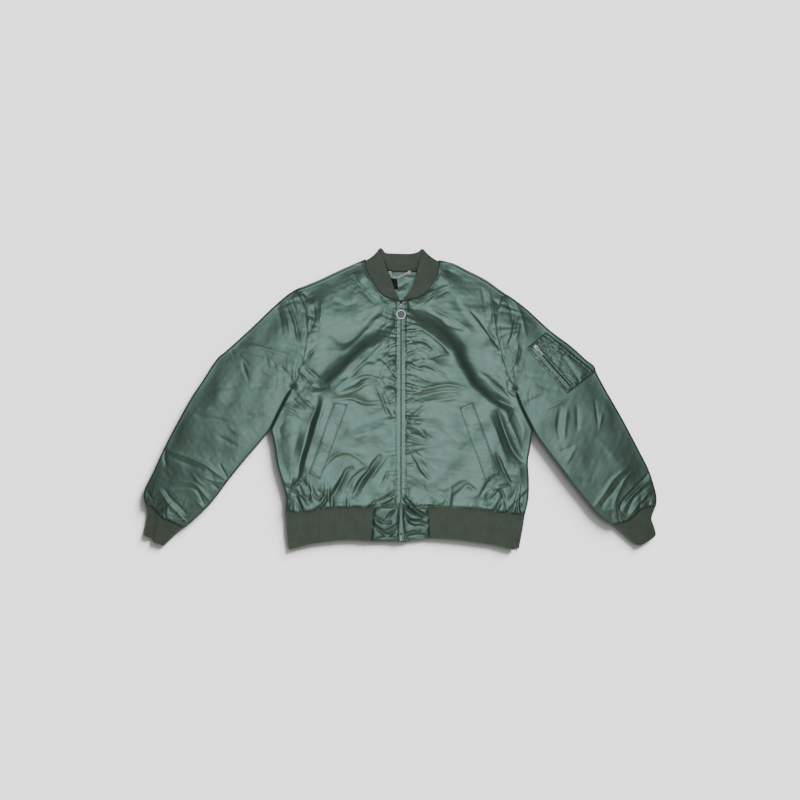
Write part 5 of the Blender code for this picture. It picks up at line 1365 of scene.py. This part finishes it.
def make_blocks():
    for side, sign in SIGNS.items():
        left = side == "left"
        zip_edge = np.array([HEM_AT_BLOCK[side][0], BLOCK_BOTTOM[side][0]], float)
        top, bottom = np.array(HEM_AT_BLOCK[side], float), np.array(BLOCK_BOTTOM[side], float)
        patch = Patch(top, bottom, zip_edge, smooth_line(RIB_INNER[side]))
        plan = close_zip(patch.grid(crowd_ends(56, 0.4), crowd_ends(64, 0.4)), sign)
        points, shape = flatten(plan), plan.shape[:2]
        below, off_zip = distance(points, top), distance(points, zip_edge)
        off = np.maximum(distance(points, *patch.lines), 0.35 * (below < 12) * (12 - below))
        height = BLOCK_TOP - 3.4 * bell(off, 5.0, 1.6) - (3.6 if left else 2.6) * ease(below / 80)
        excess = np.full(shape, 0.016)
        made = relax(raised(plan, height), (excess * 1.3, excess), np.full(shape, 0.006), 3.0, SEEDS[side] + 6)
        placed = ease(off_zip / 6) * (1.5 if left else 1.25) * creases(points, BLOCK_CREASES[side])
        least = (7.9 + 1.7 * (1 - ease((off_zip - 12) / 6))).reshape(shape)
        made[..., 2] = np.maximum(made[..., 2] + placed.reshape(shape), least)
        verts, faces = closed_sheet(made, raised(plan, least - 0.8))
        make_object(f"hem_block_cloth_{side}", verts, faces, hem_satin_painted_shade, verts[:, :2], f"hem_block_{side}", "satin")
        surfaces[f"hem_block_{side}"] = surface_of(made)


# Stitching and hardware

def capsule(start, end, radius, flat):
    """A short rounded thread."""
    span = np.linalg.norm(end - start)
    ahead = (end - start) / span
    side = np.cross(UP, ahead)
    side /= np.linalg.norm(side) + 1e-9
    up = np.cross(ahead, side)
    verts, faces = [], []
    for share, size in ((0.0, 0.25), (0.18, 1.0), (0.82, 1.0), (1.0, 0.25)):
        arch = math.sin(math.pi * share) * 0.12 * span
        centre = start + ahead * span * share + up * (arch * 0.3 - radius * 0.2)
        for n in range(5):
            angle = 2 * math.pi * n / 5
            verts.append(centre + side * math.cos(angle) * radius * size
                         + up * math.sin(angle) * radius * size * flat)
    for a in range(15):
        b = a // 5 * 5 + (a + 1) % 5
        faces.append((a, b, b + 5, a + 5))
    return verts, faces + [(4, 3, 2, 1, 0), (15, 16, 17, 18, 19)]


def make_threads(name, segments, radius=THREAD_RADIUS, material=thread, flat=0.7):
    made = (capsule(start, end, radius, flat) for start, end in segments if np.linalg.norm(end - start) > 1e-6)
    make_object(name, *joined(made), material, slot="satin")


def stitches(path, surface, size=SEAM_STITCH, lift=0.05):
    """Stitches along a path in plan, laid on a surface."""
    path, (length, pitch) = np.asarray(path, float), size
    total = length_of(path)
    starts = (np.arange(max(int(total / pitch), 1)) + 0.2) * pitch / total
    ends = starts + length / total
    a, b = (surface(along(path, np.clip(at, 0, 1)), lift) for at in (starts, ends))
    return [(p, q) for p, q in zip(a, b) if np.linalg.norm(q - p) < 2 * length]


def offset_line(line, off):
    """The line moved sideways to its left."""
    return line + unit(left_of(np.gradient(line, axis=0))) * off


def bar_tack(centre, angle, surface, length, width=2.0, pitch=0.7, lift=0.15):
    """A dense bar of stitches across a pocket's end."""
    ahead = np.array([math.cos(angle), math.sin(angle)])
    across = left_of(ahead) * width / 2
    return [tuple(surface([centre + ahead * k - across, centre + ahead * (k + pitch / 2) + across], lift))
            for k in np.arange(-length / 2, length / 2, pitch)]


def make_stitching():
    segments = []
    for side, sign in SIGNS.items():
        body, shell = BODIES[side], surfaces[f"front_{side}"]
        welt, sleeve = surfaces[f"welt_{side}"], surfaces[f"sleeve_{side}"]
        hem_y = HEM_AT_BLOCK[side][0][1]
        zip_row, block_row = ZIP_X + sign * 10.6, ZIP_X + sign * 8.0
        segments += stitches([(zip_row, ZIP_TOP - 6), (zip_row, hem_y + 2)], shell)
        for line, off, first, last in ((body.neck, 4.0, 2, -1), (body.neck, 9.5, 2, -1), (body.armhole, 3.0, 3, -3),
                                       (body.hem, -4.0, 2, -2), (body.outside, 5.0, 14, -4)):
            segments += stitches(offset_line(line, sign * off)[first:last], shell)
        segments += stitches(inset_quad(WELT[side], 1.6), welt, SMALL_STITCH)
        for corner in inset_quad(WELT[side], 3.0)[:4]:
            segments += bar_tack(corner, math.radians(12 * sign), welt, WELT_BAR)
        segments += stitches(offset_line(body.cuff_seam, -sign * 5.0)[3:-3], sleeve)
        segments += stitches([(block_row, hem_y - 4), (block_row, ZIP_BOTTOM + 4)], surfaces[f"hem_block_{side}"])
    make_threads("topstitching", segments)

    pocket, pen = surfaces["sleeve_pocket"], surfaces["pen_pocket"]
    segments = []
    for off in (1.6, 6.5):
        segments += stitches(inset_quad(SLEEVE_POCKET, off), pocket, SMALL_STITCH)
    zip_line = np.array(POCKET_ZIP, float)
    across = left_of(unit(zip_line[1] - zip_line[0]))
    for off in (-6.2, 6.2):
        segments += stitches(zip_line + across * off, pocket, SMALL_STITCH)
    segments += stitches(inset_quad(PEN_POCKET, 1.6), pen, PEN_STITCH)
    a, b, c, d = np.array(PEN_POCKET, float)
    segments += stitches([(a + b) / 2, (d + c) / 2], pen, PEN_STITCH)
    for corner in (PEN_POCKET[0], PEN_POCKET[3], POCKET_TAB[0], POCKET_TAB[2]):
        segments += bar_tack(corner, math.atan2(across[1], across[0]), pocket, POCKET_BAR)
    make_threads("pocket_stitching", segments)

    def pen_side(points, lift):
        low, high = pocket(points, lift), pen(points, lift)
        low[:, 2] = np.fmax(low[:, 2], np.where(distance(low[:, :2], quad_patch(PEN_POCKET).end) < 3, high[:, 2], 0))
        return low

    # Painted shadow: dark cords along the pen pocket's mouth and the sleeve pocket's lower edge.
    segments = stitches(smooth_line(plan_of(PEN_MOUTH)), pen_side, SHADOW_CORD_STITCH, 0.5)
    segments += stitches([SLEEVE_POCKET[3], SLEEVE_POCKET[2]], surfaces["sleeve_left"], SHADOW_CORD_STITCH, 0.6)
    make_threads("pocket_edge_shadow_cords", segments, SHADOW_CORD_RADIUS, shadow_cord_thread, 0.9)


def box_points(centre, size, axes):
    """Eight corners and six faces of a box on three axes."""
    signs = ((-1, -1, -1), (1, -1, -1), (1, 1, -1), (-1, 1, -1), (-1, -1, 1), (1, -1, 1), (1, 1, 1), (-1, 1, 1))
    faces = [(0, 3, 2, 1), (4, 5, 6, 7), (0, 1, 5, 4), (1, 2, 6, 5), (2, 3, 7, 6), (3, 0, 4, 7)]
    return [np.array(centre) + sum(axes[k] * size[k] / 2 * s[k] for k in range(3)) for s in signs], faces


def teeth(path, level, size, pitch):
    """Two rows of zip teeth that mesh along a path in plan. level gives the height of the tape."""
    path = np.asarray(path, float)
    ahead = unit(path[-1] - path[0])
    axes = [np.append(left_of(ahead), 0.0), np.append(ahead, 0.0), UP]
    return joined(
        box_points((*(path[0] + ahead * (k + 0.25 * (row + 1)) * pitch + axes[0][:2] * row * size[0] * 0.34),
                    level + size[2] / 2), size, axes)
        for k in range(int(length_of(path) / pitch)) for row in (-1, 1)
    )


def make_zip():
    for side, sign in SIGNS.items():
        near, far = ZIP_X + sign * 0.15, ZIP_X + sign * TAPE_WIDTH
        patch = quad_patch([(near, ZIP_TOP), (far, ZIP_TOP), (far, ZIP_BOTTOM), (near, ZIP_BOTTOM)])
        plan = patch.grid(np.linspace(0, 1, 5), np.linspace(0, 1, 60))
        verts, faces = closed_sheet(raised(plan, TAPE_TOP), raised(plan, TAPE_TOP - TAPE_WALL))
        make_object(f"zip_tape_cloth_{side}", verts, faces, tape, verts[:, :2], f"zip_tape_{side}", "tape")
    front = teeth([(ZIP_X, SLIDER_BOTTOM), (ZIP_X, ZIP_BOTTOM + 18)], TAPE_TOP, TOOTH, TOOTH_PITCH)
    make_object("zip_teeth_front", *front, dark_metal, slot="metal", smooth=False)
    start, end = np.array(POCKET_ZIP, float)
    runs, count = [], 12
    for k in range(count):
        a, b = (start + (end - start) * (0.2 + 0.78 * share / count) for share in (k, k + 0.98))
        level = surfaces["pocket_zip_tape"]([(a + b) / 2])[0, 2]
        runs.append(teeth([a, b], level, POCKET_TOOTH, POCKET_TOOTH_PITCH))
    make_object("zip_teeth_pocket", *joined(runs), shaded_metal, slot="metal", smooth=False)


def link_points(centre, ahead, up, long_radius, short_radius, wire, count=18, sides=8):
    """A chain link: a ring stretched along ahead, whose plane has up as its normal."""
    side = np.cross(up, ahead)
    verts, faces = [], []
    for k in range(count):
        a = 2 * math.pi * k / count
        middle = centre + ahead * math.cos(a) * long_radius + side * math.sin(a) * short_radius
        out = unit(ahead * math.cos(a) * short_radius + side * math.sin(a) * long_radius)
        for n in range(sides):
            b = 2 * math.pi * n / sides
            verts.append(middle + (out * math.cos(b) + up * math.sin(b)) * wire)
            here, following, beside = k * sides, (k + 1) % count * sides, (n + 1) % sides
            faces.append((here + n, here + beside, following + beside, following + n))
    return verts, faces


def make_chain():
    path = smooth_line(CHAIN_PATH)
    links = []
    for k in range(CHAIN_LINKS):
        t = (k + 0.5) / CHAIN_LINKS
        before, place, after = along(path, [max(t - 0.01, 0), t, min(t + 0.01, 1)])
        ahead = np.append(unit(after - before), 0.0)
        tilt = math.radians(LINK_TILT if k % 2 else -LINK_TILT)
        up = UP * math.cos(tilt) + np.append(left_of(ahead), 0.0) * math.sin(tilt)
        links.append(link_points(np.append(place, CHAIN_LEVEL), ahead, up, 0.62 * length_of(path) / CHAIN_LINKS,
                                 LINK_HALF_WIDTH, LINK_WIRE))
    for place in (path[0], path[-1]):
        links.append(link_points(np.append(place, CHAIN_LEVEL), np.array([1.0, 0, 0]), UP, RING_RADIUS, RING_RADIUS,
                                 RING_WIRE, 24))
    make_object("hanger_chain_links", *joined(links), chain_metal, node="hanger_chain", slot="metal")


def make_inside():
    plan = quad_patch(LINING).grid(np.linspace(0, 1, 60), np.linspace(0, 1, 60))
    points = flatten(plan)
    top = raised(plan, LINING_TOP + creases(points, LINING_CREASES) + 0.3 * ripple(points, 30.0, 3))
    verts, faces = closed_sheet(top, raised(plan, LINING_UNDER))
    make_object("neck_lining_cloth", verts, faces, lining_satin, verts[:, :2], "neck_lining", "lining")
    surfaces["lining"] = surface_of(top)
    laid_strip("neck_binding", BINDING, "lining", 1.2, 50, 12, satin, lift=0.2)
    laid_strip("neck_label", LABEL, "lining", 0.7, 16, 20, label_cloth, "label")


# The studio

FLOOR_GLOW = 0.40
FLOOR_SHADES = ((0.09, 1.4), (0.03, 0.9))
FLOOR_HALF, FLOOR_LEVEL = 20.0, -0.0002


def make_floor():
    """Pale paper. Its soft shadow is two reaches of occlusion, each raised to a power."""
    mesh = bpy.data.meshes.new("floor")
    corners = ((-1, -1), (1, -1), (1, 1), (-1, 1))
    mesh.from_pydata([(x * FLOOR_HALF, y * FLOOR_HALF, FLOOR_LEVEL) for x, y in corners], [], [(0, 1, 2, 3)])
    floor = add_object("floor", mesh)
    n = Nodes(bpy.data.materials.new("floor_paper"))
    toward = n.tree.nodes.new("ShaderNodeNormal").outputs[0]
    toward.default_value = (0.42, 0.38, 0.82)
    both = n.add("Math", operation="MULTIPLY")
    for place, (reach, power) in enumerate(FLOOR_SHADES):
        painted_shade = n.add("AmbientOcclusion", "AO", samples=12, Distance=reach, Normal=toward)
        deeper = n.add("Math", operation="POWER")
        deeper.node.inputs[1].default_value = power
        n.tree.links.new(painted_shade, deeper.node.inputs[0])
        n.tree.links.new(deeper, both.node.inputs[place])
    n.set(Roughness=0.9, Emission_Strength=FLOOR_GLOW, Emission_Color=both, Specular_IOR_Level=0.1,
          Base_Color=(0.86, 0.86, 0.86, 1.0))
    mesh.materials.append(n.owner)
    floor.visible_glossy = False
    floor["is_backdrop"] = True
    return floor


def lamp(name, kind, power, colour, **settings):
    data = bpy.data.lights.new(name, kind)
    data.energy, data.color = power, colour
    for key, value in settings.items():
        setattr(data, key, value)
    return add_object(name, data)


def sun(name, power, colour, azimuth, elevation, angle):
    """Light from this azimuth, clockwise from +Y, and this height above the horizon, in degrees."""
    made = lamp(name, "SUN", power, colour, angle=math.radians(angle))
    a, e = math.radians(azimuth), math.radians(elevation)
    towards = Vector((math.sin(a) * math.cos(e), math.cos(a) * math.cos(e), math.sin(e)))
    made.rotation_euler = towards.to_track_quat("Z", "Y").to_euler()
    made.location = towards * 3
    return made


def softbox(name, power, colour, place, across):
    made = lamp(name, "AREA", power, colour, shape="DISK", size=across)
    made.location, made.visible_camera = place, False
    return made


def make_lights(floor):
    """The jacket and the floor are lit apart. The room is dark above the horizon and pale below it."""
    world = bpy.data.worlds.new("studio")
    bpy.context.scene.world = world
    n = Nodes(world, "Background")
    height = n.add("SeparateXYZ", "Z", Vector=n.add("TexCoord", "Generated"))
    n.set(Color=n.mix(n.range(height, 0.0, 1.0, -0.3, 0.1), (0.30, 0.32, 0.33, 1.0), (0.074, 0.070, 0.064, 1.0)),
          Strength=1.0)
    lit = {
        "jacket": (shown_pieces(), [
            softbox("window", 8.9, (0.95, 0.99, 1.0), (0.0, -0.05, 1.25), 1.0),
            sun("room", 0.66, (1.0, 0.78, 0.58), 180, 44, 60),
            sun("sky", 0.26, (1.0, 0.88, 0.70), 0, 42, 60),
        ]),
        "floor": ([floor], [sun("ceiling", 16.5, (1.0, 1.0, 1.0), 38, 22, 26)]),
    }
    for name, (objects, lamps) in lit.items():
        group = bpy.data.collections.new(name)
        for obj in objects:
            group.objects.link(obj)
        for one in lamps:
            one.light_linking.receiver_collection = group


def make_camera():
    height, across = 3.2, 0.8 * PIXEL
    data = bpy.data.cameras.new("camera")
    data.sensor_width = 36.0
    data.lens = data.sensor_width * (height - SEAM_LEVEL * MM) / across
    camera = add_object("camera", data)
    camera.location = (0.0, -PIXEL * MM, height)
    bpy.context.scene.camera = camera


make_camera()
for one_body in BODIES.values():
    make_front(one_body)
    make_sleeve(one_body)
make_back()
make_waistband()
for side_name in SIGNS:
    make_cuff(side_name)
make_blocks()
make_collar()
for side_name in SIGNS:
    laid_strip(f"welt_{side_name}", WELT[side_name], f"front_{side_name}", 1.1, 30, 110, satin, pillow=0.4,
               puckers=welt_puckers, name=f"welt_cloth_{side_name}")
laid_strip("sleeve_pocket", SLEEVE_POCKET, "sleeve_left", 1.2, 100, 110, sleeve_satin_painted_shade, pillow=0.6,
           puckers=pocket_puckers)
laid_strip("pen_pocket", PEN_POCKET, "sleeve_pocket", 1.2, 34, 44, sleeve_satin_painted_shade, pillow=1.8)
laid_strip("pocket_tab", POCKET_TAB, "sleeve_pocket", 1.2, 16, 18, sleeve_satin_painted_shade)
tape_start, tape_end = np.array(POCKET_ZIP, float)
tape_across = left_of(unit(tape_end - tape_start)) * POCKET_TAPE_SHOWN / 2
laid_strip("pocket_zip_tape", [tape_start - tape_across, tape_start + tape_across, tape_end + tape_across,
                               tape_end - tape_across], "sleeve_pocket", 0.8, 8, 50, tape, "tape",
           name="pocket_tape_cloth")
make_inside()
make_zip()
make_chain()
make_stitching()
SOLID_METALS = {"zip_slider": metal, "zip_pull": pull_metal, "zip_stop": metal, "pocket_slider": slider_metal,
                "pocket_pull": slider_metal}
for node_name, node_metal in SOLID_METALS.items():
    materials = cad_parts[node_name].data.materials
    materials.clear()
    materials.append(node_metal)

make_lights(make_floor())
